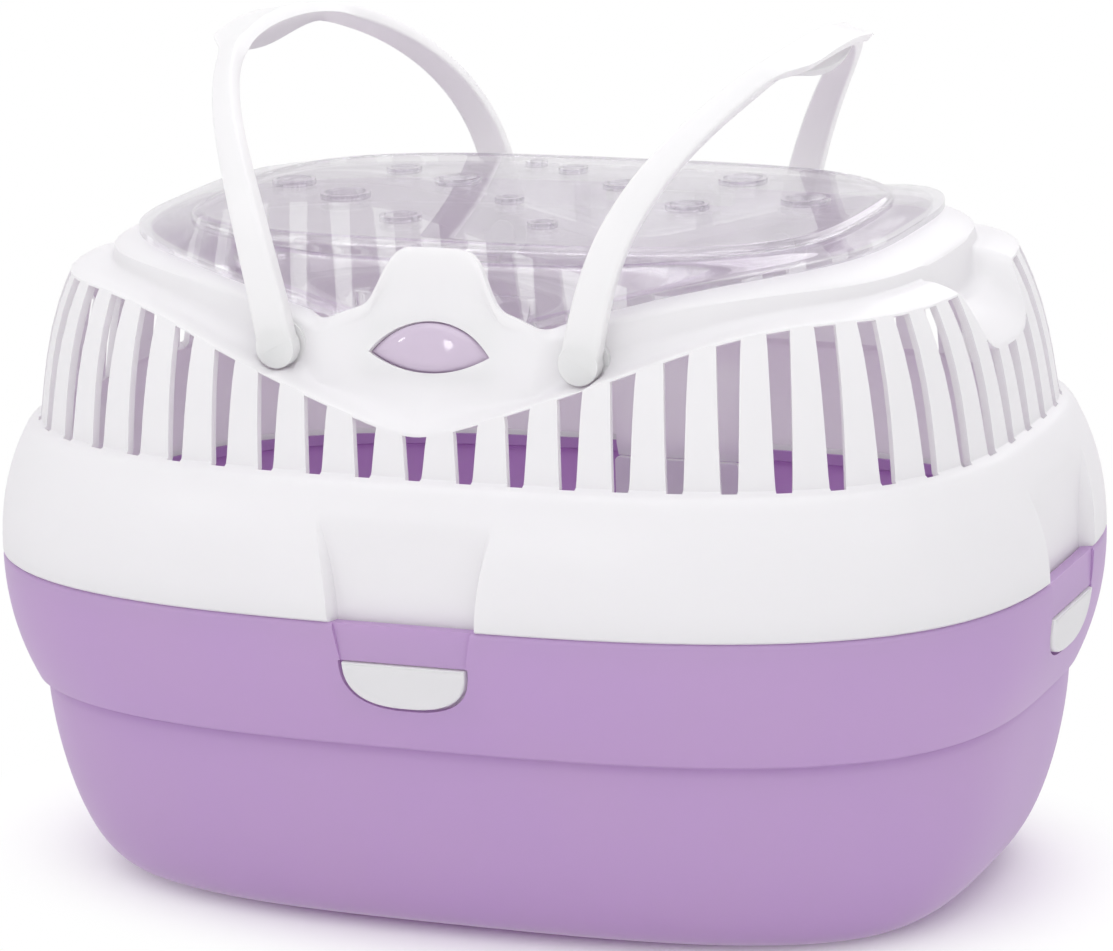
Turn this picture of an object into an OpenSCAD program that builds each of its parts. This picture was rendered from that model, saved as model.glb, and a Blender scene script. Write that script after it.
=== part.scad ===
// Small-animal carrier: an open tub, a slotted cover with a saddle-shaped collar,
// a clear hinged lid and two bail handles that swing on studs in the cover.
// Millimetres. Origin under the middle of the tub, X along the length, front at -Y, Z up.

/* [Body] */
// Length of the carrier at the parting line
body_l = 300; // [270:5:360]
// Width of the carrier at the parting line
body_w = 209.4; // [190:2:250]
// Squareness of the plan, where 2 is an ellipse
body_n = 2.97; // [2.6:0.05:3.3]
// Wall thickness of the tub and the cover
wall = 2.2; // [1.8:0.1:2.8]
// Gap left between pieces that part or move
gap = 0.35; // [0.3:0.05:0.5]

/* [Tub] */
// Height of the parting line above the floor
part_z = 92.6; // [85:1:110]
// Height of the belt band that runs below the parting line
band_h = 34.8; // [30:1:40]
// How far the belt band draws in from its rim to its lower edge
band_in = 7.7; // [5:0.5:9]
// Depth of the step under the belt band
step_in = 2.8; // [2:0.2:4]
// How far the tub wall draws in from the step to the flat underside
foot_in = 31.6; // [24:1:38]
// Width of the bead round the inside of the tub's rim
bead_w = 3.9; // [3:0.1:4.2]

/* [Cover] */
// Rise of the smooth skirt above the parting line
skirt_h = 36; // [30:1:40]
// How far the skirt draws in from its rim to the slots
skirt_in = 9.5; // [7:0.5:11]
// Number of ventilation slots round the cover
slots = 56; // [40:4:64]
// Width of a slot at its foot
slot_foot = 3; // [2:0.5:5]
// Width of a slot at its head
slot_head = 7; // [5:0.5:8]
// Rise from the slot feet to the slot heads at the front and the back
grille_low = 11.4; // [9:0.2:14]
// Rise from the slot feet to the slot heads at the two ends
grille_high = 40.8; // [36:1:44]
// Rise per millimetre of length of the line of slot heads
grille_slope = 0.36; // [0.3:0.01:0.42]
// Rise from the slot feet to the heads under the tongue at each end
tongue_rise = 23.8; // [18:1:30]
// Half the length of the collar round the lid
collar_a = 115.5; // [108:1:120]
// Half the width of the collar round the lid
collar_b = 76.8; // [75:0.2:78]
// Width of the collar's upper face
collar_w = 9; // [7:0.5:10]
// Height of the collar's outer edge above the parting line at the ends
collar_high = 83.9; // [80:1:90]
// Height of the collar's outer edge above the parting line at the middle
collar_low = 64.8; // [62:1:70]
// Rise from the collar's outer edge to its inner edge
collar_rise = 4.2; // [3:0.2:6]

/* [Lid] */
// Height of the lid's flat top above the parting line
lid_h = 92.7; // [90:1:100]
// How far the lid's flat top stands in from its edge
lid_in = 13; // [10:1:16]
// Thickness of the clear plastic
lid_t = 1.8; // [1.4:0.1:2.4]
// Furthest the lid's vents rise above its top
vent_rise = 0.8; // [0.4:0.1:1.2]
// Radius of the lid's hinge pins
hinge_r = 2; // [1.6:0.1:2.4]
// Distance of each hinge ear from the middle
hinge_x = 16; // [12:1:20]
// Radial clearance of a pin or a stud in its hole
run_fit = 0.05; // [0.03:0.01:0.1]

/* [Latches] */
// Width of a half-moon release button
button_w = 34.8; // [28:1:38]
// Height of a half-moon release button
button_h = 12; // [10:1:14]
// Depth of a release button's straight upper edge below the parting line
button_drop = 10.4; // [9:0.5:13]
// How deep the flat recess over a button lies inside the skirt's rim
recess_in = 5; // [4.6:0.1:5.6]
// Height of the recess over a button
recess_h = 25; // [20:1:28]
// Width of the eye-shaped lid button
eye_w = 33.2; // [28:1:36]
// Height of the tab that carries the lid button
tab_h = 27.6; // [24:1:30]
// Lean of the tab, in degrees
tab_lean = 16.6; // [12:1:20]

/* [Handles] */
// Distance of a handle's pivots from the middle
pivot_x = 42.7; // [40:1:48]
// Height of the handle pivots above the parting line
pivot_h = 66.8; // [65:1:70]
// Distance between a handle's inner faces at its pivots
bail_w = 155; // [152:1:160]
// Reach of a handle from its pivots to the top of its grip
bail_h = 84; // [76:1:90]
// Thickness of a handle's strap
strap_t = 4.5; // [4:0.1:5.5]
// Width of a handle's strap at its pivots
strap_foot = 11; // [10:0.5:11.4]
// Width of a handle's strap at mid height
strap_w = 7; // [6:0.5:9]
// Length of the grip along the handle
grip_l = 62; // [50:2:70]
// Width of the grip
grip_w = 13; // [11:0.5:15]
// Radius of a handle's pivot studs
stud_r = 3; // [2.4:0.1:3.4]
// Outward lean of the left handle at rest, in degrees
lean_left = 26; // [0:1:60]
// Outward lean of the right handle at rest, in degrees
lean_right = 28.9; // [0:1:60]

/* [Hidden] */

$fn = 48;
plastic_white = "#f6f4f5";
plastic_lilac = "#bda3cc";
plastic_clear = "#d8d3dacc";

body_a = body_l / 2;
body_b = body_w / 2;
rim_in = 0.3;                          // both rims stand this far inside the nominal plan
sill_z = part_z + skirt_h;             // feet of the slots
sill_in = rim_in + skirt_in;
ledge_z = sill_z + 2.4;                // top of the small shoulder under the bars
ledge_in = sill_in + 3.2;
low_z = sill_z + grille_low;
high_z = sill_z + grille_high;
step_z = part_z - band_h;
seat_a = collar_a - collar_w - 3;      // the opening inside the collar
seat_b = collar_b - 5.3;
lid_a = seat_a + 3;                    // the lid's edge overlaps the opening by 3
lid_b = seat_b + 3;
collar_n = 2.95;
seat_n = 3.2;
inner_low = part_z + collar_low + collar_rise - 1.2;
inner_high = part_z + collar_high + collar_rise;
lid_z = part_z + lid_h;
pivot_z = part_z + pivot_h;
pivot_y = bail_w / 2;                  // inner face of each handle leg
floor_y = pivot_y - gap;               // flat seat that a handle leg turns against
foot_r = strap_foot / 2 + 0.3;         // round end of each leg

// ---------- plan curves ----------

// Point of a superellipse in the direction phi
function oval(phi, a, b, n) =
    let (r = pow(pow(abs(cos(phi)) / a, n) + pow(abs(sin(phi)) / b, n), -1 / n))
    [r * cos(phi), r * sin(phi)];

// Outward unit normal of the body's plan in the direction phi
function plan_normal(phi) =
    let (p = oval(phi, body_a, body_b, body_n),
         u = [sign(p.x) * pow(abs(p.x) / body_a, body_n - 1) / body_a,
              sign(p.y) * pow(abs(p.y) / body_b, body_n - 1) / body_b])
    u / norm(u);

// Point of the body's plan, moved inwards by d
function plan_point(phi, d) = oval(phi, body_a, body_b, body_n) - d * plan_normal(phi);

// Inset at which the body's normal at phi meets another oval, found by halving the interval
function inset_to(phi, a, b, n, lo = 0, hi = 70, left = 22) =
    left == 0 ? (lo + hi) / 2 :
    let (mid = (lo + hi) / 2,
         p = plan_point(phi, mid),
         outside = pow(abs(p.x) / a, n) + pow(abs(p.y) / b, n) > 1)
    inset_to(phi, a, b, n, outside ? mid : lo, outside ? hi : mid, left - 1);

// Pairs of arc length and direction round the line of slot feet
arc_table = [for (i = 0, s = 0; i <= 360;
                  s = s + norm(plan_point(i + 1, sill_in) - plan_point(i, sill_in)), i = i + 1) [s, i]];
arc_total = arc_table[360][0];
function phi_at(s) = lookup(s < 0 ? s + arc_total : s >= arc_total ? s - arc_total : s, arc_table);

// ---------- heights that rise towards the ends ----------

function soft_min(a, b, k) = let (h = max(k - abs(a - b), 0) / k) min(a, b) - h * h * k / 4;
function saddle(x, low, high, slope) = soft_min(low + slope * (sqrt(x * x + 64) - 8), high, 8);

collar_slope = 0.29;
inner_slope = 0.27;
function collar_z(x) = saddle(x, part_z + collar_low, part_z + collar_high, collar_slope);
function inner_z(x) = saddle(x, inner_low, inner_high, inner_slope);

// ---------- lofted shells ----------

// Triangles between rings of n points; skip(k, j) leaves a quad out, wrap closes last to first
function ring_faces(rings, n, wrap, skip) =
    [for (k = [0 : rings - (wrap ? 1 : 2)]) for (j = [0 : n - 1]) if (!skip(k, j))
        let (k2 = (k + 1) % rings, j2 = (j + 1) % n)
        each quad(k * n + j, k2 * n + j, k2 * n + j2, k * n + j2)];
function quad(a, b, c, d) = [[a, b, c], [a, c, d]];
function placed(phi, pr) = let (p = plan_point(phi, pr.x)) [p.x, p.y, pr.y];

// Inner side of a profile of [inset, height] points, one wall further in
function inner_point(p, k, t) =
    let (d = p[k + 1] - p[k - 1], u = d / norm(d)) p[k] + t * [u.y, -u.x];

// ---------- tub ----------

tub_cols = 80;
function band_inset(z) = rim_in + band_in * pow(max(part_z - z, 0) / band_h, 2.2);
wall_top = step_z - 4;
wall_in = rim_in + band_in + step_in;
function tub_outer() = concat(
    [for (q = [90, 83, 75, 66, 56, 44, 30, 15, 0])
        [wall_in + foot_in * (1 - pow(cos(q), 0.7)), wall_top * (1 - pow(sin(q), 1.4))]],
    [[wall_in - 0.6, step_z - 1.6]],
    [for (f = [1 : -0.2 : 0]) [band_inset(part_z - f * band_h), part_z - f * band_h]]);
function tub_inner() = let (p = tub_outer()) concat(
    [[rim_in + bead_w, part_z], [rim_in + bead_w, part_z - 3]],
    [for (k = [14, 12, 11, 9, 7, 5, 3, 2, 1]) inner_point(p, k, wall)],
    [[p[0].x, wall]]);

module tub_shell() {
    profile = concat(tub_outer(), tub_inner());
    floor_ring = len(profile) - 1;
    n = tub_cols;
    points = [for (pr = profile) for (j = [0 : n - 1]) placed(phi_at(j * arc_total / n), pr)];
    // The underside and the floor close as flat caps, so the ring joint between them is left out
    faces = concat(
        ring_faces(len(profile), n, true, function (k, j) k == floor_ring),
        [[for (j = [0 : n - 1]) j]],
        [[for (j = [n - 1 : -1 : 0]) floor_ring * n + j]]);
    polyhedron(points, faces);
}

// ---------- cover ----------

function skirt_inset(z) = rim_in + skirt_in * pow((z - part_z) / skirt_h, 2.3);
function wall_inset(z) = let (u = (z - ledge_z) / 37.8) ledge_in + 5.2 * u + 4.6 * pow(u, 3);
function near_end(i) = i <= 1 || i >= slots - 1 || abs(i - slots / 2) <= 1;
function head_z(phi, i) =
    let (p = plan_point(phi, 17))
    near_end(i) ? sill_z + tongue_rise + 5.5 * pow(p.y / 18.4, 4)
                : saddle(p.x, low_z, high_z, grille_slope);

// Heights of the skirt's rings, from the parting line to the slot feet
skirt_steps = [0, 0.2, 0.42, 0.62, 0.78, 0.91, 1];
first_slot_ring = len(skirt_steps) - 1;
last_slot_ring = first_slot_ring + 4;
cover_rings = last_slot_ring + 5;

// Profile of one column as [inset, height] points, from the rim up to the collar's inner edge
function cover_profile(phi, i) =
    let (head = head_z(phi, i),
         head_in = wall_inset(head),
         out_in = inset_to(phi, collar_a, collar_b, collar_n),
         in_in = inset_to(phi, seat_a, seat_b, seat_n),
         out_z = collar_z(plan_point(phi, out_in).x),
         in_z = inner_z(plan_point(phi, in_in).x),
         nx = plan_normal(phi).x,
         end = nx * nx,
         middle = max(0, 1 - abs(plan_point(phi, 17).x) / 32),
         f1 = 0.6 - 0.25 * middle,
         g1 = 0.06 + 0.24 * middle + 0.4 * end,
         f2 = 0.92 - 0.22 * middle,
         g2 = 0.35 + 0.3 * middle + 0.1 * end)
    concat(
        [for (v = skirt_steps) [skirt_inset(part_z + v * skirt_h), part_z + v * skirt_h]],
        [[ledge_in, ledge_z]],
        [for (f = [1, 2, 3]) let (z = ledge_z + (head - ledge_z) * f / 3) [wall_inset(z), z]],
        [[head_in + f1 * (out_in - head_in), head + g1 * (out_z - head)],
         [head_in + f2 * (out_in - head_in), head + g2 * (out_z - head)],
         [out_in, out_z],
         [in_in, in_z]]);

function inner_of(p, k) =
    k == 0 ? p[0] + [wall, 0] :
    k == cover_rings - 1 ? p[k] - [0, 3] :
    inner_point(p, k, wall);

module cover_shell() {
    n = 2 * slots;
    pitch = arc_total / slots;
    half_foot = slot_foot / 2;
    half_head = slot_head / 2;
    a = first_slot_ring;
    b = last_slot_ring;
    // Slot edges spread from the foot to the head; above and below they keep the nearest width
    function half_at(k) = half_foot + (half_head - half_foot) * max(0, min(1, (k - a) / (b - a)));
    function col_phi(k, j) = phi_at(floor(j / 2) * pitch + (j % 2 == 0 ? -1 : 1) * half_at(k));
    function ring(k, inside) = [for (j = [0 : n - 1])
        let (phi = col_phi(k, j), p = cover_profile(phi, floor(j / 2)))
        placed(phi, inside ? inner_of(p, k) : p[k])];
    last = 2 * cover_rings - 1;
    points = concat(
        [for (k = [0 : cover_rings - 1]) each ring(k, false)],
        [for (k = [cover_rings - 1 : -1 : 0]) each ring(k, true)]);
    function open(k, j) = j % 2 == 0 && ((k >= a && k < b) || (last - k > a && last - k <= b));
    walls = [for (i = [0 : slots - 1]) each concat(
        [for (k = [a : b - 1]) each concat(
            quad(k * n + 2 * i, (k + 1) * n + 2 * i,
                 (last - k - 1) * n + 2 * i, (last - k) * n + 2 * i),
            quad(k * n + 2 * i + 1, (last - k) * n + 2 * i + 1,
                 (last - k - 1) * n + 2 * i + 1, (k + 1) * n + 2 * i + 1))],
        quad(a * n + 2 * i, (last - a) * n + 2 * i, (last - a) * n + 2 * i + 1, a * n + 2 * i + 1),
        quad(b * n + 2 * i, b * n + 2 * i + 1, (last - b) * n + 2 * i + 1, (last - b) * n + 2 * i))];
    polyhedron(points, concat(ring_faces(2 * cover_rings, n, true, function (k, j) open(k, j)), walls));
}

// ---------- what repeats on the four sides ----------

sides = [0, 90, 180, 270];             // front, right, back, left
function side_reach(side) = side % 180 == 0 ? body_b : body_a;

// Puts children, drawn for the front with y as inset from the nominal plan, on one side
module on_side(side) rotate(side) translate([0, -side_reach(side), 0]) children();

// Prism of an [x, z] outline that runs from inset y0 to inset y1
module inset_prism(outline, y0, y1)
    translate([0, y1, 0]) rotate([90, 0, 0]) linear_extrude(y1 - y0) polygon(outline);

button_top = part_z - button_drop;
recess_top = part_z + recess_h + 3;
plate_in = recess_in + 2;              // outer face of the button's back plate
button_proud = 0.7;                    // how far its upper edge stands out of the nominal plan

// Half-moon with a straight upper edge, grown all round by c
function half_moon(c) = [for (q = [0 : -10 : -180])
    [(button_w / 2 + c) * sign(cos(q)) * pow(abs(cos(q)), 0.77),
     button_top + c - (button_h + 2 * c) * pow(abs(sin(q)), 0.77)]];

// Trumpet that flares upwards, wider by c on each side
flare = 2.4;
function trumpet(c, low, high) =
    let (steps = [0 : 0.125 : 1],
         right = [for (v = steps) [button_w / 2 + flare + c + 5 * pow(v, 2.2), low + v * (high - low)]])
    concat(right, [for (k = [len(right) - 1 : -1 : 0]) [-right[k].x, right[k].y]]);

module base_tub() color(plastic_lilac) difference() {
    tub_shell();
    for (side = sides) on_side(side) {
        // faint flat panel between the rim and the button
        inset_prism([[-button_w / 2 - flare, part_z + 1], [-button_w / 2, button_top - 1],
                     [button_w / 2, button_top - 1], [button_w / 2 + flare, part_z + 1]], -5, rim_in + 1);
        // hole that the button shows through
        inset_prism(half_moon(gap), -5, plate_in + 1);
    }
}

// Half-moon button with the lower end of the spring tongue that carries it
module release_button(side) color(plastic_white) on_side(side) {
    difference() {
        inset_prism(half_moon(0), -1, plate_in + 0.5);
        translate([-button_w, -button_proud, button_top]) rotate([8.5, 0, 0])
            translate([0, -10, -2 * button_h]) cube([2 * button_w, 10, 3 * button_h]);
    }
    translate([-tongue_w / 2, plate_in, button_top - button_h - 1])
        cube([tongue_w, 2, part_z - 4.2 - button_top + button_h + 1]);
}
tongue_w = button_w + 4;

// ---------- cover features ----------

tab_y = collar_b + 1.8;                // front face of the tab at the eye
tab_z = part_z + collar_low + 1.9;
eye_up = 9.1;
eye_down = 4.6;

// Frame on the tab's front face: x across, y up along the tab, z outwards
module tab_frame() translate([0, -tab_y, tab_z]) rotate([90 - tab_lean, 0, 0]) children();

// Eye between two arcs through the same tips, grown all round by c
function arc_r(rise) = (eye_w * eye_w / 4 + rise * rise) / (2 * rise);
module eye(c) intersection() {
    translate([0, eye_up - arc_r(eye_up)]) circle(arc_r(eye_up) + c, $fn = 96);
    translate([0, arc_r(eye_down) - eye_down]) circle(arc_r(eye_down) + c, $fn = 96);
}

// Bell-shaped upper outline of the tab
function bell(x) = 6.5 + (tab_h - 6.5) * exp(-pow(abs(x) / 18.6, 4.5));
module tab_plate() translate([0, 0, -wall]) linear_extrude(wall) polygon(concat(
    [for (x = [-32 : 2 : 32]) [x, bell(x)]],
    [[17.5, -1], [13, -11], [-13, -11], [-17.5, -1]]));

plate_w = eye_w + 4.8;                 // back plate of the lid button
plate_low = 6;
plate_t = 1.4;
button_press = 2;
latch_w = plate_w + 4;                 // room behind the tab for that plate and its travel
latch_t = 3 * gap + plate_t + button_press + 3;

hinge_y = lid_b + 3.6;
hinge_z = inner_low + 10;
ear_r = hinge_r + 2.6;
lug_r = hinge_r + 2;
ear_t = 5;

// Ear on the collar's back that holds one hinge pin
module hinge_ear() {
    rotate([90, 0, 90]) linear_extrude(ear_t) polygon([
        [lid_b + 2 * gap, hinge_z], [hinge_y + ear_r - 0.2, hinge_z],
        [hinge_y + ear_r - 3, hinge_z - 16], [lid_b + 2 * gap, hinge_z - 13]]);
    translate([0, hinge_y, hinge_z]) rotate([0, 90, 0]) cylinder(r = ear_r, h = ear_t);
}

module cover() color(plastic_white) difference() {
    union() {
        cover_shell();
        for (side = sides) on_side(side) {
            // wall behind the recess, between the middle of the skirt's wall and the tongue
            intersection() {
                inset_prism(trumpet(wall, part_z, recess_top), -1, recess_in + wall);
                translate([-50, 0, 0]) rotate([90, 0, 90]) linear_extrude(100) polygon(concat(
                    [for (v = [0 : 0.1 : 0.7])
                        let (z = part_z + v * skirt_h) [skirt_inset(z) + wall / 2, z]],
                    [[recess_in + wall, part_z + 0.7 * skirt_h], [recess_in + wall, part_z]]));
            }
            // upper end of the spring tongue
            translate([-tongue_w / 2, recess_in, part_z - 3.5]) cube([tongue_w, wall, 6]);
        }
        tab_frame() tab_plate();
        // round seats that the handles turn against
        for (sx = [-1, 1]) for (sy = [-1, 1])
            translate([sx * pivot_x, sy * (floor_y - seat_t), pivot_z]) rotate([-90 * sy, 0, 0])
                cylinder(r = seat_r, h = seat_t);
        for (sx = [-1, 1]) translate([sx > 0 ? hinge_x : -hinge_x - ear_t, 0, 0]) hinge_ear();
    }
    for (side = sides) on_side(side)
        inset_prism(trumpet(0, part_z - 5, recess_top), -20, recess_in);
    tab_frame() {
        translate([0, 0, -wall - 5]) linear_extrude(10) eye(gap);
        // slot behind the tab for the lid button and its travel
        translate([-latch_w / 2, -plate_low - gap, -wall - latch_t]) cube([latch_w, plate_low + 24, latch_t]);
    }
    for (sx = [-1, 1]) for (sy = [-1, 1])
        translate([sx * pivot_x, sy * (floor_y - seat_t - 1), pivot_z]) rotate([-90 * sy, 0, 0]) {
            cylinder(r = stud_r + run_fit, h = 10);
            translate([0, 0, seat_t + 1]) cylinder(r = foot_r + gap, h = 12);
        }
    translate([0, hinge_y, hinge_z]) rotate([0, 90, 0])
        cylinder(r = hinge_r + run_fit, h = 2 * hinge_x + 2 * ear_t + 2, center = true);
}
seat_r = foot_r + 1;
seat_t = 3.2;

// ---------- lid ----------

lid_cols = 72;
top_a = lid_a - lid_in;
top_b = lid_b - lid_in;
rest_gap = gap;                        // the lid's edge stands this far above the collar

// Rings of the lid as [half length, half width, height above the top or share of the fall, kind]
function lid_point(phi, a, b, f, dz) =
    let (p = oval(phi, a, b, seat_n), q = oval(phi, lid_a, lid_b, seat_n),
         foot = inner_z(q.x) + rest_gap + lid_t)
    [p.x, p.y, lid_z - 2 + f * (foot - lid_z + 2) + dz];
module lid_shell() {
    t = lid_t;
    spec = [
        [top_a - 3, top_b - 3, 0, 2], [top_a - 0.9, top_b - 0.9, 0, 1.4], [top_a, top_b, 0, 0],
        [lid_a - 7.5, lid_b - 7.5, 0.55, 0], [lid_a - 4, lid_b - 4, 1, 0], [lid_a, lid_b, 1, 0],
        [lid_a, lid_b, 1, -t], [lid_a - 4 - t, lid_b - 4 - t, 1, -t],
        [lid_a - 7.5 - t, lid_b - 7.5 - t, 0.55, -0.3 * t], [top_a - t, top_b - t, 0, -0.5 * t],
        [top_a - 3 - t, top_b - 3 - t, 0, 2 - t]];
    n = lid_cols;
    points = [for (r = spec) for (j = [0 : n - 1]) lid_point(j * 360 / n, r[0], r[1], r[2], r[3])];
    inner = len(spec) - 1;
    faces = concat(
        [for (f = ring_faces(len(spec), n, false, function (k, j) false)) [f[2], f[1], f[0]]],
        [[for (j = [n - 1 : -1 : 0]) j]],
        [[for (j = [0 : n - 1]) inner * n + j]]);
    polyhedron(points, faces);
}

// Vents in the lid's top as [x, y, outer radius]
vents = [[-78, 9, 6.2], [-55.5, -6, 7], [-54.6, 32, 5], [-33, 20, 6.5], [-27.5, -32, 5.8],
         [-8, -3, 4], [14, -33, 4.1], [-21, 48, 3.2], [-7, 41, 4.2], [15, 22.6, 5.5],
         [43, -1.5, 6], [45, 36.4, 6.8], [71.5, 13, 6.8]];
vent_wall = 1.3;

module lid() color(plastic_clear) difference() {
    union() {
        lid_shell();
        for (v = vents) translate([v.x, v.y, lid_z - lid_t - 1.2])
            cylinder(r = v[2], h = lid_t + 1.2 + vent_rise);
        catch_plate();
        // finger lip at the middle of the front edge
        translate([-14, -top_b - 2.2, lid_z - 4.4]) cube([28, 3.6, 2]);
        for (sx = [-1, 1]) translate([sx * (hinge_x - gap), hinge_y, hinge_z]) rotate([0, -90 * sx, 0]) {
            cylinder(r = lug_r, h = lug_w);
            translate([0, 0, -ear_t]) cylinder(r = hinge_r, h = ear_t + 1);
        }
        for (x = [hinge_x - gap - lug_w, gap - hinge_x]) translate([x, lid_b - 6.5, hinge_z - 1.6])
            cube([lug_w, hinge_y - lid_b + 6.5, lug_r + 1.6]);
    }
    for (v = vents) translate([v.x, v.y, lid_z - lid_t - 3]) cylinder(r = v[2] - vent_wall, h = lid_t + 6);
    // notch in the front edge, clear of the tab and the lid button
    difference() {
        translate([-notch_w / 2, -lid_b - 10, 0]) cube([notch_w, lid_b + 10 - catch_y, lid_z - 13]);
        catch_plate();
    }
}
// Plate across the notch that the lid button's spring bears on
module catch_plate() translate([-notch_w / 2 - 1, -catch_y, tab_z - plate_low])
    cube([notch_w + 2, lid_t, lid_z - 13 - tab_z + plate_low + 1]);
notch_w = latch_w + 7;
catch_y = lid_b - 6.6;
lug_w = 7.6;

// Clear push button that shows through the eye in the tab
module lid_button() color(plastic_clear) tab_frame() {
    intersection() {
        translate([0, 0, -wall - gap - plate_t / 2]) linear_extrude(wall + gap + 2.4) eye(0);
        translate([0, 2, 1.4 - 62]) sphere(62, $fn = 120);
    }
    translate([-plate_w / 2, -plate_low, -wall - gap - plate_t]) cube([plate_w, plate_low + 9.5, plate_t]);
}

// ---------- handles ----------

arc_n = 2.07;                          // squareness of the bail
leg_s = 16;                            // straight part of each leg
bow = 7.8;                             // how far the legs bulge towards the other handle
mid_y = pivot_y + strap_t / 2;
mid_h = bail_h - strap_t / 2;

// Reach from the pivots at y on an arch of half width a and reach h
function arch_s(y, a, h) = leg_s + (h - leg_s) * pow(1 - pow(abs(y) / a, arc_n), 1 / arc_n);
function bow_at(s) = bow * sin(180 * max(0, min(1, s / bail_h)));
function strap_at(s) = strap_foot + (strap_w - strap_foot) * min(1, s / 42);

// Centre line as [y, s], up one leg, along the grip in 12 steps and down the other leg
grip_half = grip_l / 2;
leg = [[mid_y, 0], [mid_y, leg_s / 2],
       for (u = [90 : -5 : 5]) let (y = mid_y * pow(sin(u), 2 / arc_n))
           if (y > grip_half + 2) [y, arch_s(y, mid_y, mid_h)]];
middle = [for (k = [-6 : 6]) [k * grip_half / 6, arch_s(k * grip_half / 6, mid_y, mid_h)]];
bail_line = concat([for (c = leg) [-c.x, c.y]], middle, [for (k = [len(leg) - 1 : -1 : 0]) leg[k]]);

// Eight-sided section: width w across, thickness t along the direction v in the bail's plane
function strap_section(c, v, w, t) = let (k = 1.1, b = bow_at(c.y))
    [for (m = [[w / 2 - k, t / 2], [w / 2, t / 2 - k], [w / 2, k - t / 2], [w / 2 - k, -t / 2],
               [k - w / 2, -t / 2], [-w / 2, k - t / 2], [-w / 2, t / 2 - k], [k - w / 2, t / 2]])
        [b + m.x, c.x + m.y * v.x, c.y + m.y * v.y]];

// Grip: a skin that flares outwards, and a web down to a straight lower edge
grip_skin = 3;
grip_web = 2.5;
function grip_section(y) =
    let (s = arch_s(y, pivot_y + strap_t, bail_h),
         low = arch_s(grip_half, pivot_y + strap_t, bail_h) - strap_t,
         x1 = strap_w / 2, x0 = x1 - grip_w, k = 0.9,
         b = bow_at(s), bi = bow_at(s - grip_skin), bl = bow_at(low))
    [[x1 + b - k, y, s], [x1 + b, y, s - k], [x1 + bl, y, low], [x1 + bl - grip_web, y, low],
     [x1 + bi - grip_web, y, s - grip_skin], [x0 + bi, y, s - grip_skin], [x0 + b, y, s - k], [x0 + b + k, y, s]];

module loft(sections) {
    n = len(sections[0]);
    last = len(sections) - 1;
    polyhedron([for (s = sections) each s], concat(
        ring_faces(last + 1, n, false, function (k, j) false),
        [[for (j = [0 : n - 1]) j]],
        [[for (j = [n - 1 : -1 : 0]) last * n + j]]));
}

module strap() {
    last = len(bail_line) - 1;
    loft([for (k = [0 : last])
        let (c = bail_line[k],
             d = bail_line[min(k + 1, last)] - bail_line[max(k - 1, 0)], u = d / norm(d))
        abs(c.x) > grip_half + 1 ? strap_section(c, [-u.y, u.x], strap_at(c.y), strap_t)
                                 : grip_section(c.x)]);
}

// Bail in its own frame: studs on the Y axis, reach along Z, the other handle towards +X
module bail() {
    strap();
    for (sy = [-1, 1]) translate([0, sy * pivot_y, 0]) rotate([-90 * sy, 0, 0]) {
        cylinder(r = foot_r, h = strap_t + 0.3);
        translate([0, 0, -seat_t - 2 * gap - 1.2]) cylinder(r = stud_r, h = seat_t + 2 * gap + 2);
        translate([0, 0, -seat_t - 2 * gap - 1.2]) cylinder(r = stud_r + 0.7, h = 1.2);
    }
}
module handle_left() color(plastic_white)
    translate([-pivot_x, 0, pivot_z]) rotate([0, -lean_left, 0]) bail();
module handle_right() color(plastic_white)
    translate([pivot_x, 0, pivot_z]) rotate([0, lean_right, 0]) mirror([1, 0, 0]) bail();

base_tub();
cover();
lid();
lid_button();
handle_left();
handle_right();
release_button(0);  // button_front
release_button(90);  // button_right
release_button(180);  // button_back
release_button(270);  // button_left
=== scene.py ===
"""The finished look of a small-animal carrier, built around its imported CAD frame.

Every surface is worked out in millimetres and written into its mesh in metres.
Run as a script: main() registers the panel's classes and calls their operators in order.
"""

import bpy
import numpy as np
from mathutils import Matrix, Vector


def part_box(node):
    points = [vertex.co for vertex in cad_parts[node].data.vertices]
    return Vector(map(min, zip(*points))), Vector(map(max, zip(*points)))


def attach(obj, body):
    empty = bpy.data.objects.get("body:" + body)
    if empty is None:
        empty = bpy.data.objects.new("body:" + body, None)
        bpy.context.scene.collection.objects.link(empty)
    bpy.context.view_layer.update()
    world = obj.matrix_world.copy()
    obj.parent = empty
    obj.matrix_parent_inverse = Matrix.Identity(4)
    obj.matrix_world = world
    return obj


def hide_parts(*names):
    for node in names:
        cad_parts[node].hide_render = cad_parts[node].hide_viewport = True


bl_info = {
    "name": "Small-animal carrier",
    "version": (1, 0, 0),
    "blender": (4, 5, 0),
    "location": "View3D > Sidebar > Carrier",
    "description": "Tub, slotted cover, clear lid, bail handles and push buttons of a carrier",
    "category": "Add Mesh",
}

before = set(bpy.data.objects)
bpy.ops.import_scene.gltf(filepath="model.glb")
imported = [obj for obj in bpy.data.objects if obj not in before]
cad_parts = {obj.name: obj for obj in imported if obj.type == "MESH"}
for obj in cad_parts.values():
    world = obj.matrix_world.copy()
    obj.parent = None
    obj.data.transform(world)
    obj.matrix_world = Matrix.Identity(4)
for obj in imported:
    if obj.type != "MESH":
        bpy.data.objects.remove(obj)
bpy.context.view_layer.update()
MM = 0.001


def top_of(node):
    """Height of a CAD node's highest point, in millimetres."""
    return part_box(node)[1].z / MM


# ---------------------------------------------------------------- sizes from the frame

PART_Z = top_of("base_tub")  # parting line between tub and cover
RIM_IN, RIM_R = 0.3, 1.4
BODY_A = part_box("base_tub")[1].x / MM + RIM_IN
BODY_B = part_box("base_tub")[1].y / MM + RIM_IN
BODY_N = 2.97
GAP = 0.35  # clearance between pieces

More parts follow.
